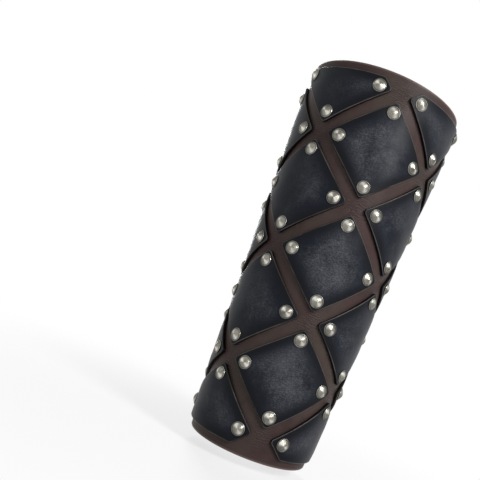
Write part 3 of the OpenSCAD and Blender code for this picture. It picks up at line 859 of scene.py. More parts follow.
class Finish(Tree):
    """A material or a world and its node tree. Scales are in waves per metre."""

    def __init__(self, name, owners=None):
        owners = bpy.data.materials if owners is None else owners
        self.owner = owners.new(name)
        self.owner.use_nodes = True
        super().__init__(self.owner.node_tree)
        self.nodes.clear()

    def mix(self, a, b, factor):
        """Colour a carried to colour b by a factor."""
        settings = {"data_type": "RGBA", "clamp_factor": True}
        return self.node("ShaderNodeMix", settings, {0: factor, 6: a, 7: b}, 2)

    def place(self):
        return self.node("ShaderNodeTexCoord", out="Object")

    def scaled(self, vector, scale, turn):
        sockets = {"Vector": vector, "Scale": scale, "Rotation": turn}
        return self.node("ShaderNodeMapping", None, sockets)

    def attribute(self, name, out="Fac"):
        return self.node("ShaderNodeAttribute", {"attribute_name": name}, out=out)

    def vector_maths(self, operation, *values, out="Value"):
        settings = {"operation": operation}
        return self.node("ShaderNodeVectorMath", settings, dict(enumerate(values)), out)

    def noise(self, vector, scale, detail=3.0, rough=0.55):
        sockets = {"Vector": vector, "Scale": scale, "Detail": detail, "Roughness": rough}
        return self.node("ShaderNodeTexNoise", None, sockets, "Fac")

    def cells(self, vector, scale):
        return self.node("ShaderNodeTexVoronoi", None, {"Vector": vector, "Scale": scale}, "Distance")

    def bump(self, height, distance, strength=1.0, normal=None):
        sockets = {"Height": height, "Distance": distance, "Strength": strength}
        if normal is not None:
            sockets["Normal"] = normal
        return self.node("ShaderNodeBump", None, sockets, "Normal")

    def surface(self, **sockets):
        """Ends the tree in a Principled shader, whose sockets are named with underscores."""
        sockets = {key.replace("_", " "): value for key, value in sockets.items()}
        shader = self.node("ShaderNodeBsdfPrincipled", None, sockets)
        self.node("ShaderNodeOutputMaterial", None, {"Surface": shader})
        return self.owner


def base_leather_finish(s):
    """Waxed grain outside, a lighter edge partly painted as a highlight, and the nap of the flesh side
    inside.
    """
    f = Finish("base leather")
    place = f.place()
    layer, edge = f.attribute("layer"), f.attribute("edge")
    outside = layer.between(0.9, 0.995)
    within = 1.0 - layer.between(0.005, 0.1)

    # Colours of the two sides and of the cut edge
    mottle = f.noise(place, 22.0, 4.0, 0.6)
    patches = f.noise(place, 70.0, 3.0, 0.6)
    inner_patch = f.noise(place, 90.0, 5.0, 0.7)
    front = 1.0 - place.part("Y").between(-0.01, 0.03)
    outer = f.mix(s.outer_color, s.outer_tint, mottle.between(0.35, 0.65) * (0.25 + 0.75 * front))
    outer = f.mix(outer, s.outer_dark, patches.between(0.5, 0.75, 0.0, 0.45))
    inner = f.mix(s.inner_color, s.inner_light, inner_patch.between(0.4, 0.75))
    rim = f.mix(s.edge_color, s.outer_dark, patches.between(0.4, 0.7, 0.0, 0.5))
    colour = f.mix(f.mix(rim, outer, outside), inner, within)
    # Painted highlight along the outer face's edge, which is partly polish of the edge
    polish_and_highlight = (1.0 - edge.between(0.6, 1.8)) * outside
    colour = f.mix(colour, s.edge_color, polish_and_highlight * 0.5)

    # Creases where the channels between the plates cross, with painted shade in their troughs
    bands = {"wave_type": "BANDS", "bands_direction": "Z"}
    waves = {"Vector": place, "Scale": 230.0, "Distortion": 9.0, "Detail": 3.0, "Detail Scale": 1.3}
    creases = f.node("ShaderNodeTexWave", bands, waves, "Fac")
    creased = f.attribute("crease") * outside
    colour = f.mix(colour, s.outer_dark, (1.0 - creases).between(0.55, 0.95) * creased * 0.6)

    # Grain outside and nap inside
    grain = f.cells(place, 1100.0)
    fine = f.noise(place, 2600.0, 2.0)
    nap = f.noise(place, 3400.0, 3.0, 0.7)
    height = grain * 0.5 * outside + fine * 0.35 * outside + nap * 1.2 * within + creases * creased * 3.0
    rough = 0.42 + within * 0.43 + patches * 0.12 - polish_and_highlight * 0.1
    return f.surface(
        Base_Color=colour, Roughness=rough, Normal=f.bump(height, 0.00006), Specular_IOR_Level=0.14
    )


def plate_leather_finish(s):
    """Near-black navy with wear, dust and a painted sheen in the middle of the front plates, painted
    shade at the borders and a painted highlight on the edge line.
    """
    f = Finish("plate leather")
    place = f.place()
    edge, layer = f.attribute("edge"), f.attribute("layer")
    clouds = f.noise(place, 30.0, 5.0, 0.65)
    speckle = f.noise(f.scaled(place, (1.0, 1.0, 1.8), (0.3, 0.2, 0.0)), 800.0, 4.0, 0.75)
    scuffs = f.noise(f.scaled(place, (1.0, 1.0, 4.0), (0.5, 0.3, 0.0)), 160.0, 6.0, 0.75)

    # Wear and dust with a painted sheen, most in the middle of the plates that face the front
    front = 1.0 - place.part("X").absolute().between(0.014, 0.046, 0.0, 0.7)
    middle = edge.between(2.0, 15.0) * front
    colour = f.mix(s.navy, s.wear_and_sheen, clouds.between(0.36, 0.7) * middle * 0.75)
    dust_and_sheen = (clouds.between(0.32, 0.62) * middle * speckle.between(0.42, 0.66)).clamped()
    colour = f.mix(colour, s.dust_and_sheen, dust_and_sheen * 0.5)
    colour = f.mix(colour, s.dust_and_sheen, scuffs.between(0.58, 0.75) * middle * 0.2)
    # Dark cut sides, painted shade along the borders, and a line along the edge that is a painted
    # highlight as well as polish
    side = 1.0 - layer.between(0.55, 0.97)
    rim_painted_shade = 1.0 - edge.between(0.9, 6.0)
    colour = f.mix(colour, s.side, (side + rim_painted_shade * 0.8).clamped())
    # Painted highlight in a thin line on the rounded edge, which is partly polish
    line = (1.0 - (edge - 0.35).absolute().between(0.0, 0.5)) * layer.between(0.8, 0.97)
    colour = f.mix(colour, s.burnish_and_highlight, line * (0.15 + clouds.between(0.4, 0.6) * 0.35))

    grain = f.cells(place, 1300.0)
    fine = f.noise(place, 2400.0, 2.0, 0.6)
    pores = f.cells(place, 420.0)
    height = grain * 0.5 + fine * 0.5 + pores.between(0.0, 0.25) * 0.8 - scuffs.between(0.6, 0.8) * 0.6
    rough = 0.3 + clouds * 0.12 + speckle.between(0.4, 0.65) * 0.1 - line * 0.06
    return f.surface(
        Base_Color=colour, Roughness=rough, Normal=f.bump(height, 0.00005), Specular_IOR_Level=0.12
    )


def metal_finish(name, s, groove, streak, cap_r):
    """Turned nickel: fine rings round each fitting's own axis, a painted highlight streak, painted shade
    at the foot and in the hollow, and tarnish.
    """
    f = Finish(name)
    place = f.place()
    shade, hollow_shade = f.attribute("shade"), f.attribute("hollow_shade")
    local = f.attribute("local", "Vector")
    level = f.vector_maths("MULTIPLY", local, (1.0, 1.0, 0.0), out="Vector")
    radius = f.vector_maths("LENGTH", level)
    along = (-math.sin(s.streak_turn), math.cos(s.streak_turn), 0.0)
    highlight_wedge = (f.vector_maths("DOT_PRODUCT", level, along) / (radius + 0.00002)).absolute() ** 7.0
    tarnish = f.noise(place, 140.0, 4.0, 0.65)
    spots = f.noise(place, 700.0, 3.0, 0.7)

    # Painted shade in a dark ring at the cap's foot, a painted highlight on the rim, and a painted
    # highlight streak across the dome
    inner = 1.0 - radius.between(cap_r * 0.72, cap_r * 0.9)
    foot = (1.0 - inner) * (1.0 - radius.between(cap_r * 0.9, cap_r * 0.96))
    # Painted highlight: a bright streak across the dome at a set turn on each cap
    painted_highlight = highlight_wedge * inner * streak * (0.55 + 0.45 * shade)
    clouded = tarnish.between(0.42, 0.7) * (0.3 + 0.4 * shade)
    colour = f.mix(s.metal_color, s.tarnish_color, clouded)
    # Painted shade at the cap's foot, in the tarnish colour
    colour = f.mix(colour, s.tarnish_color, foot * 0.75)
    colour = f.mix(colour, s.shine_color, painted_highlight)
    # Painted highlight on the rim
    colour = f.mix(colour, s.shine_color, radius.between(cap_r * 0.92, cap_r * 0.98) * 0.15)
    colour = f.mix(colour, s.tarnish_color, spots.between(0.62, 0.78) * 0.4)
    # Painted shade on the disc that stands for the hollow of a rivet's set end
    colour = f.mix(colour, HOLLOW_SHADE_COLOR, hollow_shade)

    uneven = f.noise(local, 900.0, 2.0, 0.6)
    turned = (radius * groove + shade * 20.0 + uneven * 3.0).sine()
    normal = f.bump(turned * (0.6 + 0.8 * shade), 0.000005)
    normal = f.bump(spots, 0.00002, 0.6, normal)
    rough = 0.22 + tarnish * 0.16 + spots.between(0.6, 0.8) * 0.2
    return f.surface(
        Base_Color=colour, Metallic=1.0, Roughness=rough, Normal=normal, Specular_Tint=METAL_TINT
    )


def lace_finish(s):
    """A flat braid: threads that slant to both sides, on the lace's own map in millimetres, with painted
    highlights and painted shade.
    """
    f = Finish("lace")
    uv = f.node("ShaderNodeUVMap", {"uv_map": "UVMap"})
    across, along = uv.part("X"), uv.part("Y")
    column = (across / s.rib_w).fraction() - 0.5
    ribs = 1.0 - (column * 2.0).absolute()
    lean = ((across / (2 * s.rib_w)).fraction() - 0.5).sign()
    stitch = (along / s.stitch_len + lean * column * 0.9).fraction() - 0.5
    beads = 1.0 - (stitch * 2.0).absolute()
    thread = (ribs.between(0.0, 0.6) * beads.between(0.0, 0.55)).clamped()

    place = f.place()
    fray = f.noise(place, 900.0, 3.0, 0.7)
    wear_and_sheen = f.noise(place, 160.0, 3.0, 0.6)
    # Painted highlights on the threads' crests, over painted shade between the threads
    shine = thread.between(0.4, 0.95) * fray.between(0.4, 0.6)
    colour = f.mix(s.dark_color, s.lace_color, (thread * 0.85 + 0.15 * fray).clamped())
    colour = f.mix(colour, s.thread_highlight_color, shine * wear_and_sheen.between(0.35, 0.65, 0.1, 0.7))
    colour = f.mix(colour, s.lace_color, across.absolute().between(3.4, 4.2) * 0.5)
    normal = f.bump(thread + fray * 0.25, 0.00035)
    return f.surface(
        Base_Color=colour, Roughness=0.42 - shine * 0.14, Normal=normal, Specular_IOR_Level=0.22
    )


# Sizes and colours that a user would change

def length(name, description, default, low, high):
    return FloatProperty(
        name=name, description=description, default=default, min=low, max=high, unit="LENGTH"
    )


def swatch(name, description, default):
    return FloatVectorProperty(
        name=name, description=description, default=default, size=3, min=0, max=1, subtype="COLOR"
    )


# The turn of the painted highlight streak on the caps
def streak(degrees):
    return FloatProperty(
        name="Streak", description="Turn of the polished streak from the sleeve's length",
        default=math.radians(degrees), subtype="ANGLE",
    )


def number(name, description, default):
    return FloatProperty(name=name, description=description, default=default)


def whole(name, description, default):
    return IntProperty(name=name, description=description, default=default)


class BracerLeatherSettings(bpy.types.PropertyGroup):
    edge_round: length("Edge rounding", "Radius of the base leather's edges", 0.0007, 0.0003, 0.0012)
    outer_color: swatch("Outer colour", "Main colour of the grain side", srgb(68, 58, 53))
    outer_tint: swatch("Outer tint", "Second colour that mottles the grain side", srgb(63, 47, 46))
    # The dark colour also paints shade in the creases' troughs
    outer_dark: swatch("Outer dark", "Colour of the dark patches and creases", srgb(41, 33, 32))
    # Along the outer face the edge colour is partly a painted highlight
    edge_color: swatch("Edge colour", "Colour of the bevelled and burnished edges", srgb(123, 106, 101))
    inner_color: swatch("Inner colour", "Main colour of the flesh side", srgb(41, 44, 53))
    inner_light: swatch("Inner light", "Lighter colour of the flesh side", srgb(70, 72, 82))


class BracerPlateSettings(bpy.types.PropertyGroup):
    edge_round: length("Edge rounding", "Radius of the plates' edges", 0.0006, 0.0003, 0.001)
    swell: length("Swell", "Height that the leather swells between its rivets", 0.0003, 0.0, 0.0006)
    navy: swatch("Navy", "Main colour of the plates", srgb(16, 20, 30))
    # The two lighter colours below also paint a sheen in the middle of the front plates
    wear_and_sheen: swatch("Worn", "Lighter colour where the finish is worn", srgb(70, 72, 77))
    dust_and_sheen: swatch("Dusted", "Colour of the pale dust and scuffs in the grain", srgb(108, 111, 116))
    side: swatch("Cut side", "Colour of the cut sides", srgb(12, 12, 14))
    # A line of polish along the plates' edges that is also a painted highlight
    burnish_and_highlight: swatch("Burnished line", "Colour of the polished line at the edges", srgb(118, 113, 113))


class BracerRivetSettings(bpy.types.PropertyGroup):
    cap_r: length("Cap radius", "Radius of the domed caps", 0.0042, 0.003, 0.005)
    cap_h: length("Cap height", "Height of the domed caps", 0.0018, 0.001, 0.003)
    rim_r: length("Rim", "Radius of the thin round rim", 0.00036, 0.0002, 0.0008)
    ring_r: length("Ring radius", "Radius of the ring at the set end", 0.003, 0.002, 0.0035)
    ring_h: length("Ring height", "Height of the ring at the set end", 0.0009, 0.0005, 0.0012)
    bore_r: length("Bore radius", "Radius of the hollow in the set end", 0.001, 0.0006, 0.0014)
    seed: whole("Seed", "Seed of the differences between rivets", 7)
    streak_turn: streak(49)
    metal_color: swatch("Metal", "Colour of the nickel", srgb(134, 132, 123))
    # The shine colour paints the highlight streak and the highlight on the rim
    shine_color: swatch("Polished", "Colour of the polished streak and rim", srgb(232, 230, 220))
    # The tarnish colour also paints shade at the caps' foot
    tarnish_color: swatch("Tarnish", "Colour of the tarnish", srgb(56, 53, 48))


class BracerEyeletSettings(bpy.types.PropertyGroup):
    bore_r: length("Bore radius", "Inner radius of the eyelets", EYELET_BORE_R * MM, 0.0025, 0.0035)
    flange_r: length("Flange radius", "Outer radius of the flanges", FLANGE_R * MM, 0.004, 0.006)
    flange_h: length("Flange height", "Height of the rolled flanges", FLANGE_H * MM, 0.0006, 0.0016)
    seed: whole("Seed", "Seed of the differences between eyelets", 11)
    streak_turn: streak(0)
    metal_color: swatch("Metal", "Colour of the antique nickel", srgb(146, 141, 127))
    shine_color: swatch("Polished", "Colour where the flanges are polished", srgb(205, 200, 186))
    tarnish_color: swatch("Tarnish", "Colour of the tarnish", srgb(58, 54, 47))


class BracerLaceSettings(bpy.types.PropertyGroup):
    width: length("Width", "Width of the flat lace", 0.008, 0.006, 0.01)
    thickness: length("Thickness", "Thickness of the flat lace", 0.0013, 0.001, 0.0016)
    loop_up: length("Upper loop", "Length of the bow's upper loop", 0.036, 0.026, 0.04)
    loop_side: length("Side loop", "Length of the bow's side loop", 0.042, 0.03, 0.044)
    tail_side: length("Side tail", "Length of the bow's side tail", 0.041, 0.03, 0.044)
    tail_down: length("Lower tail", "Length of the bow's lower tail", 0.038, 0.03, 0.04)
    rib_w: number("Rib width", "Width of a rib of the braid, in millimetres", 0.8)
    stitch_len: number("Stitch length", "Length of a stitch of the braid, in millimetres", 1.3)
    lace_color: swatch("Braid", "Colour of the braid", srgb(46, 34, 32))
    # The braid shade is painted shade between the threads; the glossy colour below paints highlights on
    # their crests
    dark_color: swatch("Braid shade", "Colour between the threads", srgb(17, 14, 12))
    thread_highlight_color: swatch("Glossy threads", "Colour of the waxed threads", srgb(178, 149, 135))


class BracerStageSettings(bpy.types.PropertyGroup):
    floor_color: swatch("Floor", "Colour of the floor", (0.94, 0.94, 0.94))
    lamp_power: number("Lamp power", "Power of the main lamp in watts", 4.5)
    surround: number("Surround", "Strength of the soft light from all round", 0.11)


# Leather

def channel_crossings():
    """Places of the flat pattern where the channels between the plates cross."""
    return np.array([
        flat(i * COLUMN_PITCH, LATTICE_LIFT + j * ROW_PITCH / 2)
        for i in range(-4, 5) for j in range(-8, 9) if (i + j) % 2
    ])


def bend_ends(side, joint):
    """Where the leather starts and stops to turn with a flap, square to the flap's bend line."""
    pivot, axis = Vector(joint["pos_m"]), Vector(joint["axis"]).normalized()
    middle, beyond = (
        Vector(SLEEVE.lay(flat(side * (bend_line(0) + u), 0), -BASE_T / 2) * MM) for u in (0, 2)
    )
    on_axis = pivot + axis * (middle - pivot).dot(axis)
    across = beyond - middle
    across = (across - axis * across.dot(axis)).normalized()
    return on_axis - across * BEND_BEFORE, on_axis + across * BEND_AFTER


class BRACER_OT_leather(bpy.types.Operator):
    """Make the base leather as two half sheets"""

    bl_idname = "bracer.leather"
    bl_label = "Base leather"

    def execute(self, context):
        s = context.scene.bracer_leather
        material = base_leather_finish(s)
        profile = edge_profile(-BASE_T, 0.0, s.edge_round / MM, LEATHER_SHOULDER)
        holes = [(p, EYELET_HOLE_R) for p in EYELETS]
        flats, heights, faces, edge, layer = sheet_mesh(
            half_sheet_path(), False, profile, holes, LEATHER_GRID, self.lift
        )
        crease = np.exp(-(nearest(flats, channel_crossings()) / CREASE_REACH) ** 2)
        values = {"edge": edge, "layer": layer, "crease": crease}
        joints = {j["child"]: j for j in frame["joints"]}
        for side, name in SIDES:
            verts = SLEEVE.lay(flats * [side, 1], heights)
            on_front_line = np.abs(flats[:, 0]) < ON_LINE
            piece = new_piece(f"leather_{name}", verts, faces, material, values, sharp=on_front_line)
            start, end = bend_ends(side, joints[f"flap_{name}"])
            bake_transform(piece)
            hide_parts("base_leather_front", f"flap_{name}")
        return {"FINISHED"}

    @staticmethod
    def lift(p, edge):
        """A faint unevenness, which fades out towards the edge."""
        height, scale, seed, fade = 0.06, 46, 3, 6
        return height * smooth_noise(p, scale, seed) * np.clip(edge / fade, 0, 1)


class BRACER_OT_plates(bpy.types.Operator):
    """Make the seventeen riveted leather plates"""

    bl_idname = "bracer.plates"
    bl_label = "Plates"

    def execute(self, context):
        s = context.scene.bracer_plates
        material = plate_leather_finish(s)
        swell = s.swell / MM
        profile = edge_profile(0.0, PLATE_T, s.edge_round / MM, PLATE_SHOULDER)
        for index, (name, outline, rivets, _, side) in enumerate(PLATES):

            def lift(p, edge, rivets=rivets, index=index):
                """The leather's swell, which the rivets hold down and which ends at the edge."""
                free = np.clip((nearest(p, rivets) - RIVET_HOLD) / RIVET_RUN, 0, 1)
                free = free * free * (3 - 2 * free)
                inner = np.clip((edge - EDGE_HOLD) / EDGE_RUN, 0, 1)
                return swell * free * inner * (1 + SWELL_CHANGE * smooth_noise(p, SWELL_SCALE, index))

            path = rounded(outline, PLATE_CORNER_R, PLATE_STEP)
            flats, heights, faces, edge, layer = sheet_mesh(
                path, True, profile, [], PLATE_GRID, lift, rivets
            )
            verts = SLEEVE.lay(flats * [side, 1], heights)
            values = {"edge": edge, "layer": layer}
            piece = new_piece(f"{name}_leather", verts, faces, material, values)
            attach(piece, "shell")
            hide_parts(name)
        return {"FINISHED"}


# Metal fittings, repeated with Geometry Nodes

class Fitting(Tree):
    """A Geometry Nodes tree that puts one metal fitting on every point of a mesh."""

    def __init__(self, name, sizes):
        self.group = bpy.data.node_groups.new(name, "GeometryNodeTree")
        super().__init__(self.group)
        kinds = {"Geometry": "Geometry", "Material": "Material", "Seed": "Int"}
        for key in sizes:
            kinds[key] = "Float"
        face = self.group.interface
        for key, kind in kinds.items():
            face.new_socket(name=key, in_out="INPUT", socket_type=f"NodeSocket{kind}")
        face.new_socket(name="Geometry", in_out="OUTPUT", socket_type="NodeSocketGeometry")
        self.sizes = sizes
        self.input = self.nodes.new("NodeGroupInput")
        self.parts = []

    def given(self, name):
        """One of the tree's own inputs."""
        return Value(self, self.input.outputs[name])

    def vector(self, x, y, z):
        return self.node("ShaderNodeCombineXYZ", None, {"X": x, "Y": y, "Z": z})

    def stored(self, geometry, name, value, kind="FLOAT", domain="POINT"):
        """The geometry with a named attribute, which its material reads."""
        settings = {"data_type": kind, "domain": domain}
        sockets = {"Geometry": geometry, "Name": name, "Value": value}
        return self.node("GeometryNodeStoreNamedAttribute", settings, sockets)

    def random(self, low, high):
        """A number that differs from one fitting to the next."""
        sockets = {"Min": low, "Max": high, "Seed": self.given("Seed")}
        return self.node("FunctionNodeRandomValue", {"data_type": "FLOAT"}, sockets, 1)

    def add(self, mesh, z, scale=(1.0, 1.0, 1.0), hollow_shade=0.0):
        """Adds a part at a height over the seat."""
        sockets = {"Geometry": mesh, "Translation": self.vector(0.0, 0.0, z), "Scale": scale}
        moved_part = self.node("GeometryNodeTransform", None, sockets)
        self.parts.append(self.stored(moved_part, "hollow_shade", hollow_shade))

    def circle(self, radius, steps):
        sockets = {"Resolution": steps, "Radius": radius}
        return self.node("GeometryNodeCurvePrimitiveCircle", None, sockets, "Curve")

    def ring(self, radius, profile, around=44):
        """A profile swept round a circle."""
        sockets = {"Curve": self.circle(radius, around), "Profile Curve": profile}
        return self.node("GeometryNodeCurveToMesh", None, sockets)

    def rectangle(self, width, height):
        sockets = {"Width": width, "Height": height}
        return self.node("GeometryNodeCurvePrimitiveQuadrilateral", {"mode": "RECTANGLE"}, sockets)

    def rotation(self):
        """Turns +Z to the leather's outward direction, +Y to the elbow, and then a little at random."""
        settings = {"data_type": "FLOAT_VECTOR"}
        facing = self.node("GeometryNodeInputNamedAttribute", settings, {"Name": "facing"})
        turn = self.node("FunctionNodeAlignRotationToVector", {"axis": "Z"}, {"Vector": facing})
        settings = {"axis": "Y", "pivot_axis": "Z"}
        sockets = {"Rotation": turn, "Vector": (0.0, 0.0, 1.0)}
        turn = self.node("FunctionNodeAlignRotationToVector", settings, sockets)
        sockets = {"Axis": (0.0, 0.0, 1.0), "Angle": self.random(-OWN_TURN, OWN_TURN)}
        own = self.node("FunctionNodeAxisAngleToRotation", None, sockets)
        sockets = {"Rotation": turn, "Rotate By": own}
        return self.node("FunctionNodeRotateRotation", {"rotation_space": "LOCAL"}, sockets)

    def finish(self):
        """Instances on the points, realized and with their material."""
        joined = self.nodes.new("GeometryNodeJoinGeometry")
        for part in reversed(self.parts):
            self.links.new(part.socket, joined.inputs[0])
        position = self.node("GeometryNodeInputPosition")
        local = self.stored(Value(self, joined.outputs[0]), "local", position, "FLOAT_VECTOR")
        smooth = self.node("GeometryNodeSetShadeSmooth", None, {"Geometry": local})
        sockets = {"Points": self.given("Geometry"), "Instance": smooth, "Rotation": self.rotation()}
        instances = self.node("GeometryNodeInstanceOnPoints", None, sockets)
        marked = self.stored(instances, "shade", self.random(0.0, 1.0), domain="INSTANCE")
        real = self.node("GeometryNodeRealizeInstances", None, {"Geometry": marked})
        sockets = {"Geometry": real, "Material": self.given("Material")}
        done = self.node("GeometryNodeSetMaterial", None, sockets)
        self.node("NodeGroupOutput", None, {0: done})
        return self

    def place(self, name, points, facing, material, seed_value):
        """One mesh with a fitting on each point, points in millimetres."""
        mesh = bpy.data.meshes.new(name)
        mesh.from_pydata([tuple(p) for p in points * MM], [], [])
        layer = mesh.attributes.new("facing", "FLOAT_VECTOR", "POINT")
        layer.data.foreach_set("vector", np.asarray(facing, np.float32).ravel())
        obj = new_object(name, mesh)
        modifier = obj.modifiers.new("fitting", "NODES")
        modifier.node_group = self.group
        values = {"Material": material, "Seed": seed_value, **self.sizes}
        for item in self.group.interface.items_tree:
            if item.item_type == "SOCKET" and item.in_out == "INPUT" and item.name in values:
                modifier[item.identifier] = values[item.name]
        depsgraph = bpy.context.evaluated_depsgraph_get()
        made = bpy.data.meshes.new_from_object(obj.evaluated_get(depsgraph), depsgraph=depsgraph)
        obj.modifiers.clear()
        obj.data = made
        if not len(made.polygons):
            raise RuntimeError(f"{name} has no faces")
        return obj


def rivet_fitting(s):
    """A cap on a thin rim, and at the other end a rolled ring round a dark disc of painted shade in its
    hollow.
    """
    g = Fitting("rivet", {
        "Cap radius": s.cap_r, "Cap height": s.cap_h, "Rim": s.rim_r, "Ring radius": s.ring_r,
        "Ring height": s.ring_h, "Bore radius": s.bore_r, "Depth": (PLATE_T + BASE_T) * MM,
    })
    cap_r, cap_h, rim, ring_r, ring_h, bore_r, depth = (g.given(key) for key in g.sizes)
    inner_r = cap_r - rim
    ball = g.node("GeometryNodeMeshUVSphere", None, {"Segments": 36, "Rings": 24, "Radius": 1.0}, "Mesh")
    z = g.node("GeometryNodeInputPosition").part("Z")
    # Squaring the heights makes the ball's arc a parabola, which is less steep at its foot
    offset = g.vector(0.0, 0.0, z * z.absolute() - z)
    dome = g.node("GeometryNodeSetPosition", None, {"Geometry": ball, "Offset": offset})
    g.add(dome, CAP_SEAT, g.vector(inner_r, inner_r, cap_h))
    g.add(g.ring(inner_r, g.circle(rim, 14), 40), RIM_SEAT)
    tube_r = (ring_r + bore_r) * 0.5
    wall = tube_r - bore_r
    below = -RING_SEAT - depth
    rise = ring_h * RING_RISE / wall
    g.add(g.ring(tube_r, g.circle(wall, 14), 32), below, g.vector(1.0, 1.0, rise))
    # A dark disc of painted shade stands for the hollow inside the ring
    sockets = {"Vertices": 24, "Radius": tube_r, "Depth": PLUG_T}
    plug = g.node("GeometryNodeMeshCylinder", None, sockets, "Mesh")
    g.add(plug, below + RING_SEAT, hollow_shade=1.0)
    return g.finish()


def eyelet_fitting(s):
    """A rolled flange on a tube, and inside the sleeve a washer under the tube's rolled end."""
    g = Fitting("eyelet", {
        "Bore radius": s.bore_r, "Flange radius": s.flange_r, "Flange height": s.flange_h,
    })
    bore_r, flange_r, flange_h = (g.given(key) for key in g.sizes)
    middle = (bore_r + flange_r) * 0.5
    wall = flange_r - middle
    rise = flange_h * FLANGE_RISE / wall
    g.add(g.ring(middle, g.circle(wall, 18)), flange_h * (1 - FLANGE_RISE), g.vector(1.0, 1.0, rise))
    tube_wall = EYELET_WALL * MM
    back = -(BASE_T + WASHER_PLAY + WASHER_T + ROLL_H / 2) * MM
    tube = g.rectangle(tube_wall, -back + 2 * TUBE_RISE)
    g.add(g.ring(bore_r + tube_wall / 2, tube), back / 2 + TUBE_RISE)
    washer = g.rectangle((WASHER_R - EYELET_HOLE_R) * MM, WASHER_T * MM)
    washer_z = -(BASE_T + WASHER_PLAY + WASHER_T / 2) * MM
    g.add(g.ring((WASHER_R + EYELET_HOLE_R) / 2 * MM, washer), washer_z)
    roll_r = (ROLL_R - EYELET_BORE_R) / 2
    roll = g.ring((ROLL_R + EYELET_BORE_R) / 2 * MM, g.circle(roll_r * MM, 14))
    g.add(roll, back - ROLL_SINK, (1.0, 1.0, ROLL_H / 2 / roll_r))
    return g.finish()


class BRACER_OT_rivets(bpy.types.Operator):
    """Make the domed rivets with their set ends inside the sleeve"""

    bl_idname = "bracer.rivets"
    bl_label = "Rivets"

    def execute(self, context):
        s = context.scene.bracer_rivets
        material = metal_finish("rivet nickel", s, RIVET_GROOVES, 1.0, s.cap_r)
        fitting = rivet_fitting(s)
        groups = {}
        for _, _, points, node, side in PLATES:
            groups.setdefault(node, []).append(points * [side, 1])
        for index, (node, points) in enumerate(groups.items()):
            flats = np.concatenate(points)
            seats, facing = SLEEVE.lay(flats, PLATE_T), SLEEVE.facing(flats)
            piece = fitting.place(f"{node}_metal", seats, facing, material, s.seed + index)
            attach(piece, "shell")
            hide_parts(node)
        return {"FINISHED"}


class BRACER_OT_eyelets(bpy.types.Operator):
    """Make the eyelets of the lacing edges with their washers"""

    bl_idname = "bracer.eyelets"
    bl_label = "Eyelets"

    def execute(self, context):
        s = context.scene.bracer_eyelets
        material = metal_finish("eyelet nickel", s, EYELET_GROOVES, 0.0, s.flange_r * 1.4)
        fitting = eyelet_fitting(s)
        for side, name in SIDES:
            flats = EYELETS * [side, 1]
            seats, facing = SLEEVE.lay(flats, EYELET_SEAT), SLEEVE.facing(flats)
            piece = fitting.place(f"eyelets_{name}_metal", seats, facing, material, s.seed + side)
            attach(piece, f"flap_{name}")
            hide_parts(f"eyelets_{name}", f"eyelet_washers_{name}")
        return {"FINISHED"}


# Lace

def half_gap(r):
    """Half the width of the opening, at a distance from the apex."""
    return (SLEEVE.back - angle_of(edge_at(r - SLEEVE.wrist_r))) * r


def gap_point(side, g, r, h):
    """A point g round from the middle of the gap, on one side of it."""
    return SLEEVE.at(side * (SLEEVE.back - g / r), r, h)


def out_normal(p):
    """The direction straight out of the oval at a place near it."""
    return unit([p[0] / SLEEVE.half_w ** 2, p[1] / SLEEVE.half_d ** 2, 0])


def station(p, direction, w, t):
    """A place of the lace with the direction across it, its width and its thickness."""
    return (p, unit(np.cross(out_normal(p), direction)), w, t)


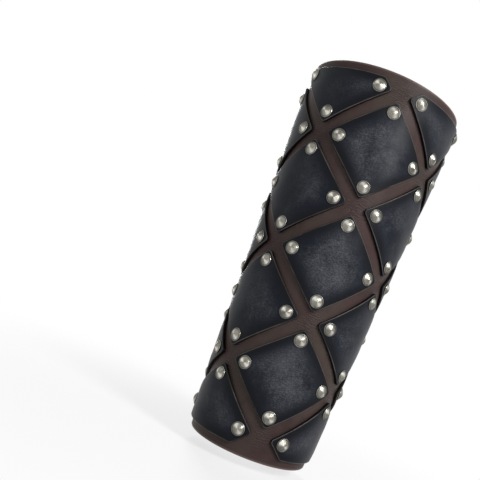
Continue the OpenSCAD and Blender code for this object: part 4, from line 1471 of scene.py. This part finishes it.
class Lace:
    """The stations of the lace and its bow, in millimetres."""

    def __init__(self, s):
        self.w, self.t = s.width / MM, s.thickness / MM
        self.mid_w = (self.w + BUNCH_W) / 2
        self.over_h = self.t / 2 + LACE_PLAY
        self.under_h = -BASE_T - self.over_h
        self.over_flange_h = FLANGE_H + self.over_h + FLANGE_CROSSING_PLAY
        stack = WASHER_PLAY + WASHER_T + HOLE_PLAY + ROLL_H
        self.under_roll_h = -BASE_T - stack - self.over_h
        self.under_bunch_h = -BASE_T - stack - 2 * LACE_PLAY
        self.edge_step = self.w * EDGE_REST
        self.rise = (self.t + LACE_PLAY) / 2 + CROSSING_PLAY
        self.r = np.hypot(*EYELETS.T)
        self.g = (SLEEVE.back - np.arctan2(*EYELETS.T)) * self.r
        self.last = EYELET_COUNT - 1
        seat = gap_point(1, half_gap(self.r[self.last]), self.r[self.last], 0)
        self.knot = np.array([0, seat[1] + KNOT_T / 2, seat[2]])

    def eyelet(self, side, i, h):
        return SLEEVE.lay(EYELETS[i] * [side, 1], h)

    def crossing(self, side, i):
        """The run from an eyelet over its own edge, across the gap and under the other edge."""
        g0, g1, r0, r1 = self.g[i], self.g[i + 1], self.r[i], self.r[i + 1]
        slope = (r1 - r0) / (g0 + g1)

        def near(g, h):
            return gap_point(side, g, r0 + slope * (g0 - g), h)

        def far(g, h):
            return gap_point(-side, g, r1 - slope * (g1 - g), h)

        out0 = half_gap(r0 + slope * (g0 - half_gap(r0))) - self.edge_step
        out1 = half_gap(r1 - slope * (g1 - half_gap(r1))) - self.edge_step
        over, under = near(out0, self.over_h), far(out1, self.under_h)
        third = (under - over) / 3
        lift = np.array([0, side * self.rise, 0])
        right, left = (i, i + 1) if side > 0 else (i + 1, i)
        d = unit(self.eyelet(-1, left, 0) - self.eyelet(1, right, 0))
        stops = (
            (self.eyelet(side, i, self.over_flange_h), BUNCH_W, BUNCH_T),
            (near(g0 - FLANGE_R, self.over_flange_h), self.mid_w, self.t),
            (near(g0 - REST, self.over_h), self.w, self.t),
            (over, self.w, self.t),
            (over + third + lift, self.w, self.t),
            (over + 2 * third + lift, self.w, self.t),
            (under, self.w, self.t),
            (far(g1 - FLANGE_R, self.under_roll_h), self.mid_w, self.t),
            (self.eyelet(-side, i + 1, self.under_bunch_h), BUNCH_W, BUNCH_T),
        )
        return [station(p, d, w, t) for p, w, t in stops]

    def strand(self, side):
        return [q for i in range(self.last) for q in self.crossing(side if i % 2 == 0 else -side, i)]

    def to_knot(self, side):
        g, r = self.g[self.last], self.r[self.last]
        stops = (
            (self.eyelet(side, self.last, self.over_flange_h), BUNCH_W, BUNCH_T),
            (gap_point(side, g - FLANGE_R, r, self.over_flange_h), self.mid_w, self.t),
            (gap_point(side, g - REST, r, self.over_h), self.w, self.t),
            (gap_point(side, half_gap(r) - self.edge_step, r, self.over_h), self.w, self.t),
        )
        in_knot = self.knot + [side * KNOT_W * END_PLACE[0], KNOT_T * END_PLACE[1], 0]
        end = (in_knot, UP, self.w * END_SIZE[0], self.t * END_SIZE[1])
        return [*(station(p, LEFTWARDS, w, t) for p, w, t in stops), end]

    def top_bar(self):
        """The straight bar under the leather, between the two top eyelets."""
        g = self.g[0] - FLANGE_R - BAR_PLAY
        stops = (
            (self.eyelet(1, 0, self.under_bunch_h), BUNCH_W, BUNCH_T),
            (gap_point(1, g, self.r[0], self.under_roll_h), self.w, self.t),
            (gap_point(-1, g, self.r[0], self.under_roll_h), self.w, self.t),
            (self.eyelet(-1, 0, self.under_bunch_h), BUNCH_W, BUNCH_T),
        )
        return [station(p, LEFTWARDS, w, t) for p, w, t in stops]

    def path(self):
        last_side = 1 if self.last % 2 == 0 else -1
        first = (self.strand(1) + self.to_knot(last_side))[::-1]
        return first + self.top_bar() + self.strand(-1) + self.to_knot(-last_side)

    def over_place(self, across, along, h):
        side = -1 if across < 0 else 1
        return gap_point(side, abs(across), self.r[self.last] + along, self.over_h + h)

    def bow_part(self, direction, size, shape):
        """A loop or a tail, narrower and thicker where it comes out of the knot."""
        d = unit(direction)
        out = []
        for share, h in shape:
            v = d * (size / MM) * share
            place, ahead = self.over_place(*v, h), self.over_place(*(v + d), h)
            narrow = NECK_W + (1 - NECK_W) * min(1.0, max(0.0, (share - NECK_START) / NECK_LEN))
            w, t = self.w * narrow, self.t * (2 - narrow)
            out.append(station(place, unit(ahead - place), w, t))
        return out

    def knot_core(self):
        """The gathered lace inside the knot."""
        return [
            (self.knot + [place * KNOT_W, 0, 0], UP, wide * KNOT_W, thick * KNOT_T)
            for place, wide, thick in CORE_SHAPE
        ]

    def knot_band(self):
        """The turn of the lace wrapped slantwise round the knot."""
        along = np.array([math.cos(BAND_TURN), 0, math.sin(BAND_TURN)])
        across = np.array([-math.sin(BAND_TURN), 0, math.cos(BAND_TURN)])
        out = []
        for a in np.radians(np.arange(*BAND_SPAN)):
            rise = np.array([0, 1, 0]) * (math.sin(a) * KNOT_T * BAND_RISE)
            place = self.knot + along * math.cos(a) * KNOT_W * 0.5 + rise
            out.append((place, across, self.w * BAND_W, self.t))
        return out


def smoothed(stations, rounds=3):
    """Corner-cutting on the stations, which keeps the line inside its turns."""
    line = [np.concatenate([p, a, [w, t]]) for p, a, w, t in stations]
    for _ in range(rounds):
        out = [line[0]]
        for a, b in zip(line[:-1], line[1:]):
            out += [a * 0.75 + b * 0.25, a * 0.25 + b * 0.75]
        line = [*out, line[-1]]
    line = np.array(line)
    keep = [0]
    for i in range(1, len(line)):
        if np.linalg.norm(line[i, :3] - line[keep[-1], :3]) > STATION_GAP:
            keep.append(i)
    keep[-1] = len(line) - 1
    return line[keep]


def section(count=18):
    """A flat oval section, as shares of half the width and half the thickness."""
    a = np.linspace(0, 2 * math.pi, count, endpoint=False)
    sides = ((np.cos(a), 0.55), (np.sin(a), 0.75))
    return np.stack([np.sign(v) * np.abs(v) ** power for v, power in sides], 1)


class Braid:
    """Sweeps of the lace gathered into one mesh."""

    def __init__(self):
        self.verts, self.faces, self.uv = [], [], []
        self.section = section()

    def rings(self, line):
        """The section's points at each station, and their places on the lace's own map."""
        at, across, w, t = line[:, :3], unit(line[:, 3:6]), line[:, 6:7], line[:, 7:8]
        along = unit(np.gradient(at, axis=0))
        up = unit(np.cross(along, across))
        wide = np.cross(up, along)
        x = self.section[:, 0] * w / 2
        y = self.section[:, 1] * t / 2
        points = at[:, None] + wide[:, None] * x[..., None] + up[:, None] * y[..., None]
        gone = np.concatenate([[0], np.cumsum(np.linalg.norm(at[1:] - at[:-1], axis=1))])
        return points, np.stack([x, np.repeat(gone[:, None], x.shape[1], 1)], -1)

    def add(self, points, uv):
        """Adds rings as a closed tube."""
        n, m = points.shape[:2]
        first = sum(len(v) for v in self.verts)
        self.verts.append(points.reshape(-1, 3))
        self.uv.append(uv.reshape(-1, 2))
        rows = [range(first + i * m, first + i * m + m) for i in range(n)]
        for low, high in zip(rows, rows[1:]):
            self.faces += strip(low, high)
        self.faces += [rows[0][::-1], rows[-1]]

    def sweep(self, stations, slant=0.0):
        points, uv = self.rings(smoothed(stations))
        if slant:
            self.cut_slantwise(points, uv, slant)
        self.add(points, uv)

    def cut_slantwise(self, points, uv, slant, reach_mm=9.0):
        """Cuts the far end of a tail slantwise."""
        along = unit(points[-1].mean(0) - points[-3].mean(0))
        centres = points.mean(1)
        left = np.linalg.norm(centres - centres[-1], axis=1)
        share = np.maximum(1 - left / reach_mm, 0)[:, None] * slant * self.section[:, 0]
        points += along * share[..., None]
        uv[..., 1] += share

    def piece(self, name, material):
        verts, uv = np.concatenate(self.verts), np.concatenate(self.uv)
        return new_piece(name, verts, self.faces, material, uv=uv)


def middle_ring(points, uv, centre, along, i):
    """The ring on the plane x = 0, after ring i. The rings near it are turned towards it."""
    t = centre[i, 0] / (centre[i, 0] - centre[i + 1, 0])
    ring = points[i] * (1 - t) + points[i + 1] * t
    ring_uv = uv[i] * (1 - t) + uv[i + 1] * t
    tangent = unit(along[i] * (1 - t) + along[i + 1] * t)
    slide = -ring[:, 0] / tangent[0]
    reach_mm = max(TURN_REACH, TURN_PER_SLIDE * np.abs(slide).max())
    share = 1 - np.linalg.norm(centre - ring.mean(0), axis=1) / reach_mm
    for j in np.flatnonzero(share > 0):
        # Another run of the lace may pass close by, so only the rings next in line turn
        if abs(j - i) < TURN_RINGS:
            points[j] += tangent * (slide * share[j])[:, None]
            uv[j, :, 1] += slide * share[j]
    ring += tangent * slide[:, None]
    ring[:, 0] = 0.0
    ring_uv[:, 1] += slide
    return ring, ring_uv


def halves(points, uv):
    """Parts a sweep at the plane x = 0, where it is cut square to X, into (side, rings, uv)."""
    centre = points.mean(1)
    side = np.where(centre[:, 0] >= 0, 1, -1)
    along = unit(np.gradient(centre, axis=0))
    cuts = np.flatnonzero(side[:-1] != side[1:])
    joints = [[], *([middle_ring(points, uv, centre, along, i)] for i in cuts), []]
    ends = [0, *(cuts + 1), len(points)]
    out = []
    for before, after, begin, end in zip(joints, joints[1:], ends, ends[1:]):
        rings = [*before, *zip(points[begin:end], uv[begin:end]), *after]
        block, block_uv = (np.array(values) for values in zip(*rings))
        out.append((int(side[begin]), block, block_uv))
    return out


class BRACER_OT_lace(bpy.types.Operator):
    """Make the braided lace, its bow and its knot"""

    bl_idname = "bracer.lace"
    bl_label = "Lace"

    def execute(self, context):
        s = context.scene.bracer_lace
        material = lace_finish(s)
        lace = Lace(s)
        runs, bow = ({1: Braid(), -1: Braid()} for _ in range(2))
        points, uv = runs[1].rings(smoothed(lace.path()))
        for side, block, block_uv in halves(points, uv):
            runs[side].add(block, block_uv)
        bow[-1].sweep(lace.bow_part(LOOP_UP_DIR, s.loop_up, LOOP_SHAPE))
        bow[-1].sweep(lace.bow_part(LOOP_SIDE_DIR, s.loop_side, LOOP_SHAPE))
        bow[1].sweep(lace.bow_part(TAIL_SIDE_DIR, s.tail_side, TAIL_SHAPE), TAIL_SLANT)
        bow[1].sweep(lace.bow_part(TAIL_DOWN_DIR, s.tail_down, TAIL_SHAPE), -TAIL_SLANT)
        for side, name in SIDES:
            piece = runs[side].piece(f"lace_{name}", material)
            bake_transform(piece)
            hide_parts("lace")
            piece = bow[side].piece(f"lace_bow_{name}", material)
            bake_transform(piece)
            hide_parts("lace")
        knot = Braid()
        knot.sweep(lace.knot_core())
        knot.sweep(lace.knot_band())
        piece = knot.piece("lace_knot", material)
        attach(piece, "shell")
        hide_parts("lace")
        return {"FINISHED"}


# Stage

def white_rays(f):
    """1 for the rays that show the white background."""
    kinds = ("Is Camera Ray", "Is Glossy Ray", "Is Transmission Ray")
    camera, glossy, through = (f.node("ShaderNodeLightPath", out=kind) for kind in kinds)
    return (camera + glossy + through).clamped()


class BRACER_OT_stage(bpy.types.Operator):
    """Make the floor, the lamps and the camera"""

    bl_idname = "bracer.stage"
    bl_label = "Stage"

    def execute(self, context):
        s = context.scene.bracer_stage
        self.camera()
        self.floor(s)
        self.world(s)
        self.lamps(s)
        context.scene.view_settings.view_transform = "Standard"
        return {"FINISHED"}

    def camera(self):
        """A camera at the photograph's viewing angle, turned about its own line of sight."""
        azimuth, elevation, roll = (math.radians(v) for v in VIEW_ANGLES)
        level = Vector((-math.sin(azimuth), math.cos(azimuth), 0)) * math.cos(elevation)
        forward = level - Vector((0, 0, math.sin(elevation)))
        right = Vector((math.cos(azimuth), math.sin(azimuth), 0))
        up = right.cross(forward)
        side = math.cos(roll) * right + math.sin(roll) * up
        top = -math.sin(roll) * right + math.cos(roll) * up
        data = bpy.data.cameras.new("camera")
        data.sensor_width = SENSOR_W
        data.lens = SENSOR_W * LENS_PER_SENSOR
        data.shift_x = (FRAME / 2 - MIDDLE_PIXEL[0]) / FRAME
        data.shift_y = (MIDDLE_PIXEL[1] - FRAME / 2) / FRAME
        data.clip_start, data.clip_end = 0.01, 20.0
        matrix = Matrix((side, top, -forward)).transposed().to_4x4()
        matrix.translation = MIDDLE - forward * VIEW_DISTANCE
        camera = new_object("camera", data)
        camera.matrix_world = matrix
        bpy.context.scene.camera = camera

    def floor(self, s):
        """A pale floor just under the object, which keeps a faint shadow near it."""
        f = Finish("floor")
        seen = f.node("ShaderNodeEmission", None, {"Color": WHITE, "Strength": 1.0})
        paint = f.node("ShaderNodeBsdfDiffuse", None, {"Color": s.floor_color})
        away = f.vector_maths("LENGTH", f.place())
        factor = white_rays(f) * away.between(*SHADOW_FADE, 0.72, 1.0)
        both = f.node("ShaderNodeMixShader", None, {0: factor, 1: paint, 2: seen})
        f.node("ShaderNodeOutputMaterial", None, {"Surface": both})
        mesh = bpy.data.meshes.new("floor")
        places = [(x * FLOOR_HALF, y * FLOOR_HALF, FLOOR_Z) for x, y in SQUARE]
        mesh.from_pydata(places, [], [(0, 1, 2, 3)])
        mesh.materials.append(f.owner)
        floor = new_object("floor", mesh)

    def world(self, s):
        f = Finish("surround", bpy.data.worlds)
        strength = s.surround + (1.0 - s.surround) * white_rays(f)
        surround = f.node("ShaderNodeBackground", None, {"Color": WHITE, "Strength": strength})
        f.node("ShaderNodeOutputWorld", None, {"Surface": surround})
        bpy.context.scene.world = f.owner

    def lamps(self, s):
        for name, place, size, share, turn in LAMPS:
            data = bpy.data.lights.new(name, "AREA")
            data.shape = "RECTANGLE"
            data.size, data.size_y = size
            data.energy = s.lamp_power * share
            facing = (MIDDLE - Vector(place)).to_track_quat("-Z", "Y").to_matrix().to_4x4()
            turned = facing @ Matrix.Rotation(math.radians(turn), 4, "Z")
            new_object(name, data).matrix_world = Matrix.Translation(place) @ turned


class BRACER_PT_panel(bpy.types.Panel):
    """Sizes, colours and steps of the bracer"""

    bl_idname = "BRACER_PT_panel"
    bl_label = "Leather bracer"
    bl_space_type = "VIEW_3D"
    bl_region_type = "UI"
    bl_category = "Bracer"

    def draw(self, context):
        for key, group, operator in STEPS:
            box = self.layout.box()
            settings = getattr(context.scene, key)
            for item in group.__annotations__:
                box.prop(settings, item)
            box.operator(operator.bl_idname)


STEPS = (
    ("bracer_leather", BracerLeatherSettings, BRACER_OT_leather),
    ("bracer_plates", BracerPlateSettings, BRACER_OT_plates),
    ("bracer_rivets", BracerRivetSettings, BRACER_OT_rivets),
    ("bracer_eyelets", BracerEyeletSettings, BRACER_OT_eyelets),
    ("bracer_lace", BracerLaceSettings, BRACER_OT_lace),
    ("bracer_stage", BracerStageSettings, BRACER_OT_stage),
)


def register():
    for key, group, operator in STEPS:
        bpy.utils.register_class(group)
        bpy.utils.register_class(operator)
        setattr(bpy.types.Scene, key, PointerProperty(type=group))
    bpy.utils.register_class(BRACER_PT_panel)


def unregister():
    bpy.utils.unregister_class(BRACER_PT_panel)
    for key, group, operator in reversed(STEPS):
        delattr(bpy.types.Scene, key)
        bpy.utils.unregister_class(operator)
        bpy.utils.unregister_class(group)


def corners(box):
    return [list(map(float, c)) for c in box]


def main():
    register()
    bpy.ops.bracer.leather()
    bpy.ops.bracer.plates()
    bpy.ops.bracer.rivets()
    bpy.ops.bracer.eyelets()
    bpy.ops.bracer.lace()
    bpy.ops.bracer.stage()


if __name__ == "__main__":
    main()
